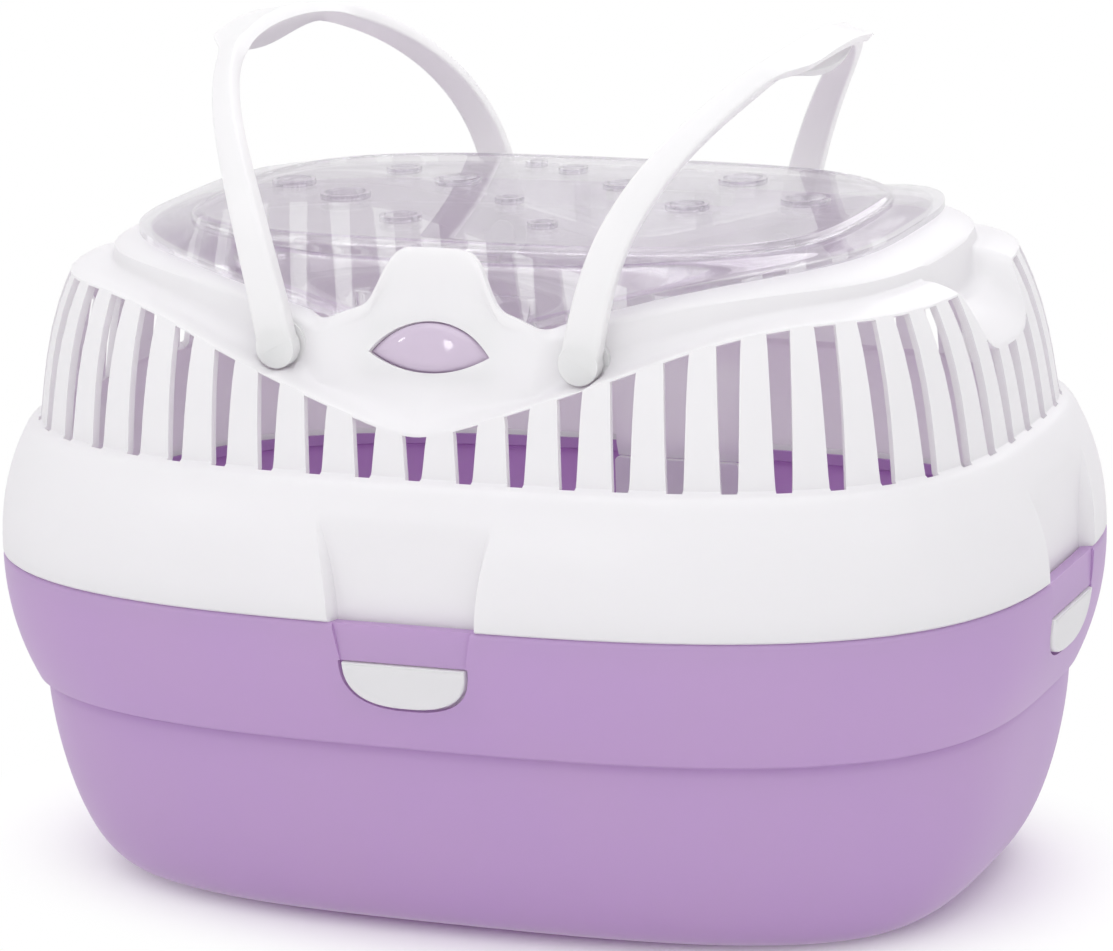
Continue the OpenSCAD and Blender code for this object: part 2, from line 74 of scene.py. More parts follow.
BAND_H, BAND_IN = 34.8, 7.7
STEP_Z = PART_Z - BAND_H
STEP_IN, FOOT_IN, BEAD_W = 2.8, 31.6, 3.9

SKIRT_H, SKIRT_IN = 34.0, 8.3
SILL_Z, PITCH_IN = PART_Z + SKIRT_H, 9.8
# ledge between the skirt's top and the slots' feet: a quarter round, then nearly flat
LEDGE = np.array([[1.25, 1.0], [2.0, 2.3], [2.35, 3.5], [2.9, 4.15]])
WALL_Z, WALL_IN, WALL_RISE, LEAN_EVEN, LEAN_CUBIC = PART_Z + 38.4, 13.0, 37.8, 5.2, 4.6
SLOTS, SLOT_FOOT, SLOT_HEAD = 56, 3.0, 7.0
HEAD_LOW, HEAD_HIGH, HEAD_SLOPE, HEAD_IN = PART_Z + 47.4, PART_Z + 76.8, 0.36, 17.0
COLLAR_A, COLLAR_B, COLLAR_N = 115.5, 76.8, 2.95
COLLAR_LOW, COLLAR_HIGH, COLLAR_SLOPE = PART_Z + 64.8, PART_Z + 83.9, 0.29
SEAT_A, SEAT_B, SEAT_N = 103.5, 71.5, 3.2
INNER_LOW, INNER_HIGH, INNER_SLOPE = COLLAR_LOW + 3.0, COLLAR_HIGH + 4.2, 0.27

LID_A, LID_B, LID_T = SEAT_A + 3.0, SEAT_B + 3.0, 1.8
LID_Z = PART_Z + 92.7
BUTTON_W, BUTTON_H, BUTTON_TOP = 34.8, 12.0, PART_Z - 10.4
MOON_GAP, MOON_SET, MOON_LEAN = 0.9, 0.4, np.radians(8.5)
FLARE, FLARE_UP, FLARE_POWER = 2.4, 5.0, 2.2  # recess edge: width added at its foot and top
RECESS_IN, RECESS_FOOT, RECESS_TOP = 5.0, PART_Z - 5.0, PART_Z + 28.0
PLATE_IN = RECESS_IN + 2.0
TAB_Y, TAB_Z, TAB_H = COLLAR_B + 1.8, COLLAR_LOW + 1.9, 27.6
TAB_LEAN = np.radians(16.6)
TAB_FOOT, TAB_SHOULDER = 7.5, 4.3  # heights of the bell's sides
EYE_W, EYE_UP, EYE_DOWN = 33.2, 8.3, 4.6
LATCH_W, LATCH_ROOM = EYE_W + 4.8, 11.0  # plate behind the eye, the notch's extra width
LENS_ROUND = 118.0  # twice the radius of the eye's dome

PIVOT_X, PIVOT_Z, PIVOT_Y = 42.7, PART_Z + 66.8, 77.5
BAIL_H, LEG_S, BOW, ARC_N = 84.0, 16.0, 7.8, 2.07
STRAP_T, STRAP_FOOT, STRAP_TOP, STRAP_EVEN = 4.5, 11.0, 6.2, 75.0
GRIP_HALF, GRIP_OUT, GRIP_SKIN, GRIP_FLOOR, GRIP_DIP = 31.0, 3.4, 3.0, 2.6, 4.3
FOOT_R, STUD_R, STUD_LIP, STUD_HEAD = STRAP_FOOT / 2 + 0.3, 3.0, 0.7, 1.2
SEAT_T = 3.2  # thickness of a handle's round seat
LEAN = {"left": np.radians(26.0), "right": np.radians(28.9)}
HINGE_X, HINGE_Y, HINGE_Z, HINGE_R = 16.0, LID_B + 3.6, INNER_LOW + 10.0, 2.0
EAR_R, EAR_T = HINGE_R + 2.6, 5.0

# Vents in the lid's flat top: centre x, centre y, outer radius
VENTS = np.array([
    [-78, 9, 6.2], [-55.5, -6, 7], [-54.6, 32, 5], [-33, 20, 6.5], [-27.5, -32, 5.8],
    [-8, -3, 4], [14, -33, 4.1], [-21, 48, 3.2], [-7, 41, 4.2], [15, 22.6, 5.5],
    [43, -1.5, 6], [45, 36.4, 6.8], [71.5, 13, 6.8]])
VENT_WALL = 1.3

SIDES = {"front": 0, "right": 90, "back": 180, "left": 270}


# ---------------------------------------------------------------- curves

def signed_power(v, p):
    """|v| to the power p, with the sign of v."""
    return np.sign(v) * np.abs(v) ** p


def smooth(v, lo, hi):
    """0 below lo, 1 above hi, and 3t^2 - 2t^3 between them."""
    t = np.clip((v - lo) / (hi - lo), 0, 1)
    return t * t * (3 - 2 * t)


def superellipse(phi, a, b, n):
    """Point of |x/a|^n + |y/b|^n = 1 in the direction phi."""
    r = (np.abs(np.cos(phi) / a) ** n + np.abs(np.sin(phi) / b) ** n) ** (-1 / n)
    return r * np.cos(phi), r * np.sin(phi)


def body_normal(phi):
    """Unit normal of the body's plan: the gradient of its superellipse."""
    x, y = superellipse(phi, BODY_A, BODY_B, BODY_N)
    u = signed_power(x / BODY_A, BODY_N - 1) / BODY_A
    v = signed_power(y / BODY_B, BODY_N - 1) / BODY_B
    length = np.hypot(u, v)
    return u / length, v / length


def body_point(phi, inset):
    """Point of the body's plan, moved inwards along its normal."""
    x, y = superellipse(phi, BODY_A, BODY_B, BODY_N)
    u, v = body_normal(phi)
    return x - inset * u, y - inset * v


def inset_to(phi, a, b, n):
    """Inset at which the body's normal meets another oval, found by halving the interval."""
    lo, hi = np.zeros_like(phi), np.full_like(phi, 70.0)
    for _ in range(24):
        mid = (lo + hi) / 2
        x, y = body_point(phi, mid)
        outside = np.abs(x / a) ** n + np.abs(y / b) ** n > 1
        lo, hi = np.where(outside, mid, lo), np.where(outside, hi, mid)
    return (lo + hi) / 2


TURN = np.radians(np.arange(361))
_x, _y = body_point(TURN, PITCH_IN)
ARC = np.concatenate([[0], np.cumsum(np.hypot(np.diff(_x), np.diff(_y)))])
PITCH = ARC[-1] / SLOTS


def phi_at(s):
    """Direction whose arc length round the line of slot feet is s."""
    return np.interp(np.mod(s, ARC[-1]), ARC, TURN)


def saddle(x, low, high, slope):
    """Height that is low at the middle, climbs with |x| and levels off softly at high."""
    climb = low + slope * (np.sqrt(x * x + 64) - 8)
    h = np.maximum(8 - np.abs(climb - high), 0) / 8
    return np.minimum(climb, high) - h * h * 2


def corner_cut(count, times=2):
    """Weights that turn count key points into a soft line: Chaikin's corner cutting, ends kept."""
    w = np.eye(count)
    for _ in range(times):
        a, b = w[:-1], w[1:]
        w = np.concatenate([w[:1], np.stack([0.75 * a + 0.25 * b, 0.25 * a + 0.75 * b], 1)
                            .reshape(-1, count)[1:-1], w[-1:]])
    return w


def sizes():
    """The carrier's settings in the scene."""
    return bpy.context.scene.carrier


def wall():
    """Wall thickness of the tub and the cover, in millimetres."""
    return round(sizes().wall / MM, 4)


# ---------------------------------------------------------------- mesh helpers

def lattice(rows, cols, closed=True):
    """Quads of a grid whose normals face out when rows climb and columns turn anticlockwise."""
    r, c = np.meshgrid(np.arange(rows - 1), np.arange(cols if closed else cols - 1), indexing="ij")
    right = (c + 1) % cols
    return np.stack([r * cols + c, r * cols + right, (r + 1) * cols + right, (r + 1) * cols + c],
                    -1).reshape(-1, 4)


def shell(outer, inner, quads, caps=()):
    """Closed wall: an outer and an inner sheet with the same quads, joined along each open edge."""
    n = len(outer)
    edges = np.concatenate([quads[:, [k, (k + 1) % 4]] for k in range(4)]
                           + [np.stack([cap, np.roll(cap, -1)], 1) for cap in caps])
    low, high = edges.min(1), edges.max(1)
    _, first, count = np.unique(low * n + high, return_index=True, return_counts=True)
    rim = edges[first[count == 1]]
    walls = np.stack([rim[:, 1], rim[:, 0], rim[:, 0] + n, rim[:, 1] + n], 1)
    faces = np.concatenate([quads, quads[:, ::-1] + n, walls]).tolist()
    faces += [list(map(int, cap)) for cap in caps]
    faces += [list(map(int, cap[::-1] + n)) for cap in caps]
    return np.concatenate([outer, inner]), faces


def prism(outline, low, high):
    """Closed prism of an anticlockwise outline in local x and y, between two local heights."""
    n = len(outline)
    points = np.concatenate([np.c_[outline, np.full(n, low)], np.c_[outline, np.full(n, high)]])
    i = np.arange(n)
    j = (i + 1) % n
    sides = np.stack([i, j, j + n, i + n], 1).tolist()
    return points, sides + [i[::-1].tolist(), (i + n).tolist()]


def tube(sections):
    """Closed skin through a row of like sections, each an anticlockwise loop seen from its end."""
    rows, cols = sections.shape[:2]
    faces = lattice(rows, cols).tolist()
    last = (rows - 1) * cols
    return sections.reshape(-1, 3), faces + [list(range(cols))[::-1],
                                             list(range(last, last + cols))]


def rounded(sx, sy, r, steps=6):
    """Anticlockwise rectangle of half sizes sx and sy with round corners of radius r."""
    q = np.linspace(0, np.pi / 2, steps)
    corner = np.stack([np.cos(q), np.sin(q)], 1) * r
    turns = [(1, 1, 0), (-1, 1, 1), (-1, -1, 0), (1, -1, 1)]
    return np.concatenate([(corner[::-1] if flip else corner) * [mx, my]
                           + [mx * (sx - r), my * (sy - r)] for mx, my, flip in turns])


def on_side(side):
    """Placer for local points: across the side, up, and outwards from the nominal plan."""
    turn = np.radians(SIDES[side])
    reach = BODY_B if SIDES[side] % 180 == 0 else BODY_A

    def place(p):
        x, y = p[:, 0], -(reach + p[:, 2])
        return np.stack([x * np.cos(turn) - y * np.sin(turn),
                         x * np.sin(turn) + y * np.cos(turn), p[:, 1]], 1)
    return place


def on_tab(p):
    """Places local points: across the tab, up along it, and out of its face."""
    s, c = np.sin(TAB_LEAN), np.cos(TAB_LEAN)
    return np.stack([p[:, 0], -TAB_Y + p[:, 1] * s - p[:, 2] * c,
                     TAB_Z + p[:, 1] * c + p[:, 2] * s], 1)


def upright(x=0.0, y=0.0):
    """Placer that moves local points sideways and keeps their height."""
    return lambda p: p + [x, y, 0]


def joined(parts):
    """One mesh out of several lists of points and faces."""
    points, faces, start = [], [], 0
    for p, f in parts:
        points.append(p)
        faces += [[i + start for i in face] for face in f]
        start += len(p)
    return np.concatenate(points), faces


def moved(part, *by):
    """A mesh part, moved by x, y and z."""
    return part[0] + by, part[1]


def make_object(name, part, smooth_angle=35):
    """Mesh object of points in millimetres, keeping the angle above which finish_piece leaves its
    edges sharp.
    """
    points, faces = part
    mesh = bpy.data.meshes.new(name)
    mesh.from_pydata((np.asarray(points) * MM).tolist(), [], faces)
    mesh.validate()
    obj = bpy.data.objects.new(name, mesh)
    bpy.context.scene.collection.objects.link(obj)
    obj["smooth_angle"] = smooth_angle
    return obj


def cut(obj, part, operation="DIFFERENCE"):
    """Takes a closed part away from obj, or joins it on, and keeps the result as its mesh."""
    tool = make_object("tool", part)
    modifier = obj.modifiers.new("cut", "BOOLEAN")
    modifier.operation, modifier.solver, modifier.object = operation, "EXACT", tool
    evaluated = obj.evaluated_get(bpy.context.evaluated_depsgraph_get())
    result = bpy.data.meshes.new_from_object(evaluated)
    obj.modifiers.clear()
    old, obj.data = obj.data, result
    result.name = obj.name
    bpy.data.meshes.remove(old)
    tool_mesh = tool.data
    bpy.data.objects.remove(tool)
    bpy.data.meshes.remove(tool_mesh)


def finish_piece(obj, body, node, material, more=0.0, segments=2, angle=38):
    """Rounds the sharp edges, gives the finish, ties the piece to its body and hides the CAD node
    it stands for.

    The edge radius is the setting plus the given millimetres more.
    """
    modifier = obj.modifiers.new("edge radius", "BEVEL")
    modifier.width, modifier.segments = round(sizes().edge / MM + more, 4) * MM, segments
    modifier.limit_method, modifier.angle_limit = "ANGLE", np.radians(angle)
    modifier.harden_normals = False
    mesh = obj.data
    mesh.shade_smooth()
    mesh.set_sharp_from_angle(angle=np.radians(obj["smooth_angle"]))
    mesh.materials.clear()
    mesh.materials.append(material)
    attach(obj, body)
    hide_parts(node)


# ---------------------------------------------------------------- materials

PLASTIC_IOR = 1.49
BUMP_SHARE, BUMP_DEEP = 0.05, 0.0005  # waves of the melt: 0.025 mm

def linear(code):
    """Linear colour of an sRGB hex code."""
    srgb = np.array([int(code[i:i + 2], 16) for i in (1, 3, 5)]) / 255
    rgb = np.where(srgb <= 0.04045, srgb / 12.92, ((srgb + 0.055) / 1.055) ** 2.4)
    return (*rgb, 1.0)


def add_node(tree, kind, links=None, **values):
    """Adds a node; values set its properties or sockets, and links feed its sockets by name."""
    node = tree.nodes.new(kind)
    for key, value in values.items():
        if key in node.inputs:
            node.inputs[key].default_value = value
        else:
            setattr(node, key, value)
    for key, source in (links or {}).items():
        tree.links.new(source, node.inputs[key])
    return node


def emptied(owner):
    """Node tree of a material or world, with nothing in it."""
    owner.use_nodes = True
    owner.node_tree.nodes.clear()
    return owner.node_tree


def new_material(name):
    """New material and its empty node tree."""
    material = bpy.data.materials.new(name)
    return material, emptied(material)


def plastic(name, colour, deep, rough, through, glow):
    """Moulded plastic: Principled BSDF with a share of light that passes through the wall.

    colour turns to deep along the flow marks; through is the share of light that comes through
    the wall in the colour glow.
    """
    material, tree = new_material(name)
    place = add_node(tree, "ShaderNodeTexCoord").outputs["Object"]
    # flow marks of the melt, about 42 mm wide, and uneven polish of the mould, about 11 mm wide
    flow = add_node(tree, "ShaderNodeTexNoise", {"Vector": place}, Scale=24.0, Detail=2.0)
    polish = add_node(tree, "ShaderNodeTexNoise", {"Vector": place}, Scale=90.0, Detail=1.0)
    tint = add_node(tree, "ShaderNodeMix", {"Factor": flow.outputs["Fac"]}, data_type="RGBA")
    tint.inputs[6].default_value = linear(colour)
    tint.inputs[7].default_value = linear(deep)
    gloss = add_node(tree, "ShaderNodeMapRange", {"Value": polish.outputs["Fac"]})
    gloss.inputs["To Min"].default_value = rough - 0.008
    gloss.inputs["To Max"].default_value = rough + 0.012
    bump = add_node(tree, "ShaderNodeBump", {"Height": flow.outputs["Fac"]},
                    Strength=BUMP_SHARE, Distance=BUMP_DEEP)
    shader = add_node(tree, "ShaderNodeBsdfPrincipled", {
        "Base Color": tint.outputs[2], "Roughness": gloss.outputs["Result"],
        "Normal": bump.outputs["Normal"]}, IOR=PLASTIC_IOR)
    wall = add_node(tree, "ShaderNodeBsdfTranslucent", Color=linear(glow))
    both = add_node(tree, "ShaderNodeMixShader", {1: shader.outputs[0], 2: wall.outputs[0]})
    both.inputs[0].default_value = through
    add_node(tree, "ShaderNodeOutputMaterial", {"Surface": both.outputs[0]})
    return material


def clear_plastic(name, colour, rough, bend):
    """Clear moulded polystyrene: a thin tinted wall that mirrors at a slant and bends a little.

    bend is the share of light that is refracted; the rest goes straight through, as it does
    through a wall whose two faces are parallel. Lamps reach what is under it.
    """
    material, tree = new_material(name)
    place = add_node(tree, "ShaderNodeTexCoord").outputs["Object"]
    flow = add_node(tree, "ShaderNodeTexNoise", {"Vector": place}, Scale=22.0, Detail=1.0)
    gloss = add_node(tree, "ShaderNodeMapRange", {"Value": flow.outputs["Fac"]})
    gloss.inputs["To Min"].default_value = rough
    gloss.inputs["To Max"].default_value = rough + 0.015
    bump = add_node(tree, "ShaderNodeBump", {"Height": flow.outputs["Fac"]},
                    Strength=BUMP_SHARE, Distance=BUMP_DEEP)
    glass = add_node(tree, "ShaderNodeBsdfPrincipled", {
        "Roughness": gloss.outputs["Result"], "Normal": bump.outputs["Normal"]}, IOR=PLASTIC_IOR)
    glass.inputs["Base Color"].default_value = linear(colour)
    glass.inputs["Transmission Weight"].default_value = 1.0
    straight = add_node(tree, "ShaderNodeBsdfTransparent", Color=linear(colour))
    mirror = add_node(tree, "ShaderNodeBsdfGlossy", {"Roughness": gloss.outputs["Result"],
                                                     "Normal": bump.outputs["Normal"]})
    # two faces of a thin wall mirror 2F / (1 + F) of the light, here given to the one met first
    slant = add_node(tree, "ShaderNodeFresnel", IOR=PLASTIC_IOR).outputs[0]
    total = add_node(tree, "ShaderNodeMath", {0: slant}, operation="ADD")
    total.inputs[1].default_value = 1.0
    pair = add_node(tree, "ShaderNodeMath", {0: slant, 1: total.outputs[0]}, operation="DIVIDE")
    pair = add_node(tree, "ShaderNodeMath", {0: pair.outputs[0], 1: pair.outputs[0]},
                    operation="ADD")
    face = add_node(tree, "ShaderNodeNewGeometry").outputs["Backfacing"]
    share = add_node(tree, "ShaderNodeMapRange", {"Value": face, "To Min": pair.outputs[0]})
    share.inputs["To Max"].default_value = 0.0
    thin = add_node(tree, "ShaderNodeMixShader", {0: share.outputs[0], 1: straight.outputs[0],
                                                  2: mirror.outputs[0]})
    solid = add_node(tree, "ShaderNodeMixShader", {1: thin.outputs[0], 2: glass.outputs[0]})
    solid.inputs[0].default_value = bend
    path = add_node(tree, "ShaderNodeLightPath")
    light = add_node(tree, "ShaderNodeMath", {0: path.outputs["Is Shadow Ray"],
                                              1: path.outputs["Is Diffuse Ray"]},
                     operation="MAXIMUM")
    both = add_node(tree, "ShaderNodeMixShader", {
        0: light.outputs[0], 1: solid.outputs[0], 2: straight.outputs[0]})
    add_node(tree, "ShaderNodeOutputMaterial", {"Surface": both.outputs[0]})
    return material


def hex_of(rgb):
    """Hex code of a colour held as sRGB numbers."""
    return "#" + "".join(f"{round(c * 255):02x}" for c in rgb)


def finish_of(kind):
    """The material of one kind, made once."""
    known = bpy.data.materials.get(kind)
    if known:
        return known
    s = sizes()
    if kind == "white_polypropylene":
        # glossy injection-moulded polypropylene: soft highlights, a little light through the wall;
        # that light's pink tint is a painted reflection of the lilac tub
        return plastic(kind, hex_of(s.white), "#f7f9f9", s.polish, 0.38, "#f4eff1")
    if kind == "lilac_polypropylene":
        # tinted polypropylene: glows where light comes through the thin wall
        return plastic(kind, hex_of(s.lilac), "#c6a8d8", s.polish, 0.32, "#dca8e2")
    if kind == "clear_polystyrene":
        # clear crystal polystyrene: barely tinted, sharp reflections
        return clear_plastic(kind, "#f7f6f8", 0.0, 0.35)
    if kind == "clear_button_polystyrene":
        # clear polystyrene drawn as a milky pale lilac: the lilac is painted shade of the lilac
        # interior seen through the lens
        return plastic(kind, "#dccfe0", "#d5c7da", 0.05, 0.25, "#e0cee6")
    raise ValueError(kind)


# ---------------------------------------------------------------- what repeats on the sides

def half_moon(grow):
    """Outline with a straight upper edge over half a superellipse, grown all round."""
    q = np.linspace(0, np.pi, 49)
    x = (BUTTON_W / 2 + grow) * signed_power(np.cos(q), 0.77)
    z = BUTTON_TOP + grow / 2 - (BUTTON_H + 1.5 * grow) * np.sin(q) ** 0.77
    return np.stack([x, z], 1)[::-1]


def flare_half(z):
    """Half width of the recess, a trumpet that opens upwards by a power of the height."""
    v = np.clip((z - RECESS_FOOT) / (RECESS_TOP - RECESS_FOOT), 0, 1)
    return BUTTON_W / 2 + FLARE + FLARE_UP * v ** FLARE_POWER


def eye(grow, steps=40):
    """Eye outline: two arcs through the same tips, anticlockwise, grown all round."""
    half = EYE_W / 2
    (r1, c1), (r2, c2) = [((half * half + rise * rise) / (2 * rise) + grow,
                           sign * (rise - (half * half + rise * rise) / (2 * rise)))
                          for rise, sign in ((EYE_DOWN, -1), (EYE_UP, 1))]
    # the grown arcs meet where both reach the same x
    y = (r1 * r1 - r2 * r2 + c2 * c2 - c1 * c1) / (2 * (c2 - c1))
    tip = np.sqrt(r1 * r1 - (y - c1) ** 2)
    x = tip * np.sin(np.linspace(-np.pi / 2, np.pi / 2, steps))
    low = np.stack([x, c1 - np.sqrt(r1 * r1 - x * x)], 1)
    high = np.stack([x, c2 + np.sqrt(r2 * r2 - x * x)], 1)[::-1]
    return np.concatenate([low, high[1:-1]])


# ---------------------------------------------------------------- tub

def wall_offset(inset, z, wall):
    """Profile moved inwards by the wall, square to its own direction."""
    di, dz = np.gradient(inset), np.gradient(z)
    length = np.hypot(di, dz)
    return inset + wall * dz / length, z - wall * di / length


def tub_shell():
    """Lofted tub: a rounded foot, a step, the belt band and a rim with a bead inside."""
    q = np.radians(np.linspace(90, 0, 26))
    wall_in = RIM_IN + BAND_IN + STEP_IN
    foot_i = wall_in + FOOT_IN * (1 - np.cos(q) ** 0.7)
    foot_z = (STEP_Z - 4) * (1 - np.sin(q) ** 1.4)
    foot_i[0], foot_z[0] = wall_in + FOOT_IN, 0.0
    f = np.array([1, .93, .85, .76, .67, .58, .49, .4, .31, .22, .15, .1, .06])
    edge = np.radians([0, 22, 45, 68, 90])
    inset = np.concatenate([foot_i, [wall_in, wall_in + .45, wall_in + .3, wall_in - 2.2],
                            RIM_IN + BAND_IN * f ** 2.2,
                            RIM_IN + RIM_R * (1 - np.cos(edge))])
    z = np.concatenate([foot_z, [STEP_Z - 2.6, STEP_Z - 1.5, STEP_Z - .8, STEP_Z - .35],
                        PART_Z - f * BAND_H,
                        PART_Z - RIM_R * (1 - np.sin(edge))])
    thick = wall()
    ni, nz = wall_offset(inset, z, thick)
    nz[0], ni[0] = thick, inset[0]
    bead = RIM_IN + BEAD_W
    ni[-5:], nz[-5:] = bead, PART_Z - np.array([3.0, 2.2, 1.4, .7, 0])
    ni[-6], nz[-6] = bead - 1.4, PART_Z - 3.6
    ni[-7], nz[-7] = RIM_IN + thick + .1, PART_Z - 4.4
    cols = 360
    phi = phi_at(np.arange(cols) * ARC[-1] / cols)[None, :]

    def ring(i, h):
        x, y = body_point(phi, i[:, None])
        return np.stack([x, y, np.broadcast_to(h[:, None], x.shape)], -1).reshape(-1, 3)
    quads = lattice(len(inset), cols)
    return shell(ring(inset, z), ring(ni, nz), quads, [np.arange(cols)[::-1]])


def build_tub():
    tub = make_object("tub_moulding", tub_shell())
    panel = np.array([[-BUTTON_W / 2, BUTTON_TOP - 1], [BUTTON_W / 2, BUTTON_TOP - 1],
                      [BUTTON_W / 2 + FLARE, PART_Z + 1], [-BUTTON_W / 2 - FLARE, PART_Z + 1]])
    for side in SIDES:
        place = on_side(side)
        for outline, low in ((panel, -RIM_IN - 1), (half_moon(MOON_GAP), -PLATE_IN - 1)):
            points, faces = prism(outline, low, 5)
            cut(tub, (place(points), faces))
    finish_piece(tub, "tub", "base_tub", finish_of("lilac_polypropylene"),
                 more=0.4, segments=3, angle=30)


# ---------------------------------------------------------------- cover

def column_layout(half, skirt_z):
    """Arc lengths of the cover's columns, ten to a slot pitch: five in the slot, five on the bar.

    half is the slot's half width in each row. On the bars beside the four recesses the columns
    of the skirt's rows move to the flared edge of the recess, which skirt_z places.
    """
    i = np.repeat(np.arange(SLOTS), 10)
    k = np.tile(np.arange(10), SLOTS)
    f = np.clip((k - 2) / 2, -1, 1)
    g = np.clip((k - 4) / 6, 0, 1)
    bar = k > 4
    half = half[:, None]
    s = i * PITCH + np.where(bar, half + g * (PITCH - 2 * half), f * half)
    edge = flare_half(skirt_z)[:, None]
    right = 2 * PITCH - half
    steps = np.concatenate([edge - 1.1, edge - .5, edge + .1, edge + .7,
                            (edge + .7 + right) / 2], 1)
    pull = 1 - smooth(skirt_z, RECESS_TOP, SILL_Z - 1)[:, None]
    for centre in (0, SLOTS // 4, SLOTS // 2, 3 * SLOTS // 4):
        for first, sign in (((centre + 1) % SLOTS, 1), ((centre - 2) % SLOTS, -1)):
            here = np.arange(first * 10 + 5, first * 10 + 10)
            base = centre * PITCH
            goal = base + sign * steps[:, ::sign]
            now = s[:, here]
            now = now - ARC[-1] * np.round((now - base) / ARC[-1])
            s[:, here] = now + pull * (goal - now)
    return s, i, k


def head_height(phi, near_end):
    """Height of the slot heads: a saddle, and a low arch under the tongue at each end."""
    x, y = body_point(phi, HEAD_IN)
    return np.where(near_end, PART_Z + 59.8 + 5.5 * (y / 18.4) ** 4,
                    saddle(x, HEAD_LOW, HEAD_HIGH, HEAD_SLOPE))


def wall_inset(z):
    """Inset of the slotted wall, which leans in as a cubic of its height."""
    u = (z - WALL_Z) / WALL_RISE
    return WALL_IN + LEAN_EVEN * u + LEAN_CUBIC * u ** 3


def cover_sheets():
    """Outer and inner sheet of the cover: rows climb from the rim to the collar's inner edge.

    Rows are blends of key points: 14 on the skirt, 4 over the ledge, 7 up the bars and a
    corner-cut line over the shoulder, the channel and the collar. In front the collar's keys
    move onto the leaning tab and up to its bell outline.
    """
    thick = wall()
    v = np.array([0, .018, .05, .13, .24, .35, .46, .57, .67, .76, .84, .91, .96, 1])
    bars = np.array([.08, .24, .42, .6, .78, .92, 1])
    ridge = corner_cut(9)[1:]
    a, b = len(v) - 1, len(v) - 1 + len(LEDGE) + len(bars)
    rows = b + 1 + len(ridge)
    share = np.clip((np.arange(rows) - a) / (b - a), 0, 1)
    half = (SLOT_FOOT + (SLOT_HEAD - SLOT_FOOT) * share) / 2
    skirt_z = np.concatenate([PART_Z + v * SKIRT_H, np.full(rows - len(v), SILL_Z)])
    s, i, k = column_layout(half, skirt_z)
    phi = phi_at(s)
    near = (i <= 1) | (i >= SLOTS - 1) | (np.abs(i - SLOTS / 2) <= 1)
    after = np.roll(near, -10)
    t = smooth(np.clip((k - 4) / 6, 0, 1), 0, 1)
    head = head_height(phi, near) * (1 - t) + head_height(phi, after) * t
    head_in = wall_inset(head)
    out_in = inset_to(phi, COLLAR_A, COLLAR_B, COLLAR_N)
    seat_in = inset_to(phi, SEAT_A, SEAT_B, SEAT_N)
    out_z = saddle(body_point(phi, out_in)[0], COLLAR_LOW, COLLAR_HIGH, COLLAR_SLOPE)
    seat_z = saddle(body_point(phi, seat_in)[0], INNER_LOW, INNER_HIGH, INNER_SLOPE)
    nx, ny = body_normal(phi)
    bx, by = superellipse(phi, BODY_A, BODY_B, BODY_N)
    across = body_point(phi, 20.0)[0]
    end, middle = nx * nx, np.maximum(0, 1 - np.abs(body_point(phi, HEAD_IN)[0]) / 32)

    def part_way(f, g):
        return head_in + f * (out_in - head_in), head + g * (out_z - head)
    keys = [(head_in, head), (head_in + .25, head + .9),
            part_way(.6 - .25 * middle, .06 + .24 * middle + .4 * end),
            part_way(.92 - .22 * middle, .35 + .3 * middle + .1 * end)]
    p2 = keys[-1]
    keys[2] = keys[2][0], np.maximum(keys[2][1], head + 1.3)
    keys += [(p2[0] + f * (out_in - p2[0]), p2[1] + f * (out_z - p2[1])) for f in (.4, .75)]
    keys += [(out_in, out_z), (out_in + .8 * (seat_in - out_in), out_z + .8 * (seat_z - out_z)),
             (seat_in, seat_z)]
    # the tab: keys on its plane, by height h along it and bulge out of it
    off = np.abs(across)
    bell = (TAB_FOOT + TAB_SHOULDER * (1 - smooth(off, 18, 34))
            + (TAB_H - TAB_FOOT - TAB_SHOULDER) * np.exp(-(off / 15.8) ** 6))
    front = (ny < 0) * (1 - smooth(off, 28, 40))
    s_, c_ = np.sin(TAB_LEAN), np.cos(TAB_LEAN)

    def on_plane(h, bulge=0.0):
        y = -TAB_Y + h * s_ - bulge * c_
        return (np.abs(by) + y) / np.maximum(np.abs(ny), .3), TAB_Z + h * c_ + bulge * s_
    heights = {3: np.full_like(bell, -8.0), 4: np.full_like(bell, -2.0),
               5: np.minimum(12.5, bell - 4), 6: bell - 3, 7: bell - 1, 8: bell}
    bulges = {4: 1.1, 5: -.9, 6: 1.5, 7: 1.7, 8: 1.4}
    for n, h in heights.items():
        pi, pz = on_plane(h, bulges.get(n, 0.0) * smooth(bell, 8, 20))
        keys[n] = keys[n][0] + front * (pi - keys[n][0]), keys[n][1] + front * (pz - keys[n][1])
    # inner keys: each one wall further in, square to the line between its neighbours
    under = WALL_Z + (head - WALL_Z) * .7
    line_i = np.stack([wall_inset(under)] + [p[0] for p in keys])
    line_z = np.stack([under] + [p[1] for p in keys])
    di, dz = line_i[2:] - line_i[:-2], line_z[2:] - line_z[:-2]
    size = np.hypot(di, dz)
    in_i = line_i[1:-1] + thick * dz / size
    in_z = line_z[1:-1] - thick * di / size
    last_i = line_i[-1] + front * thick * c_
    last_z = line_z[-1] - (1 - front) * 3 - front * thick * s_
    in_i = np.concatenate([in_i, last_i[None]])
    in_z = np.concatenate([in_z, last_z[None]])
    in_i[1] = in_i[0] + .12 * (in_i[2] - in_i[0])
    in_z[1] = in_z[0] + .12 * (in_z[2] - in_z[0])

    def over_ridge(key):
        """Rows from the heads to the collar's inner edge, each a blend of the nine keys."""
        return np.einsum("rn,nrc->rc", ridge, key[:, b + 1:])
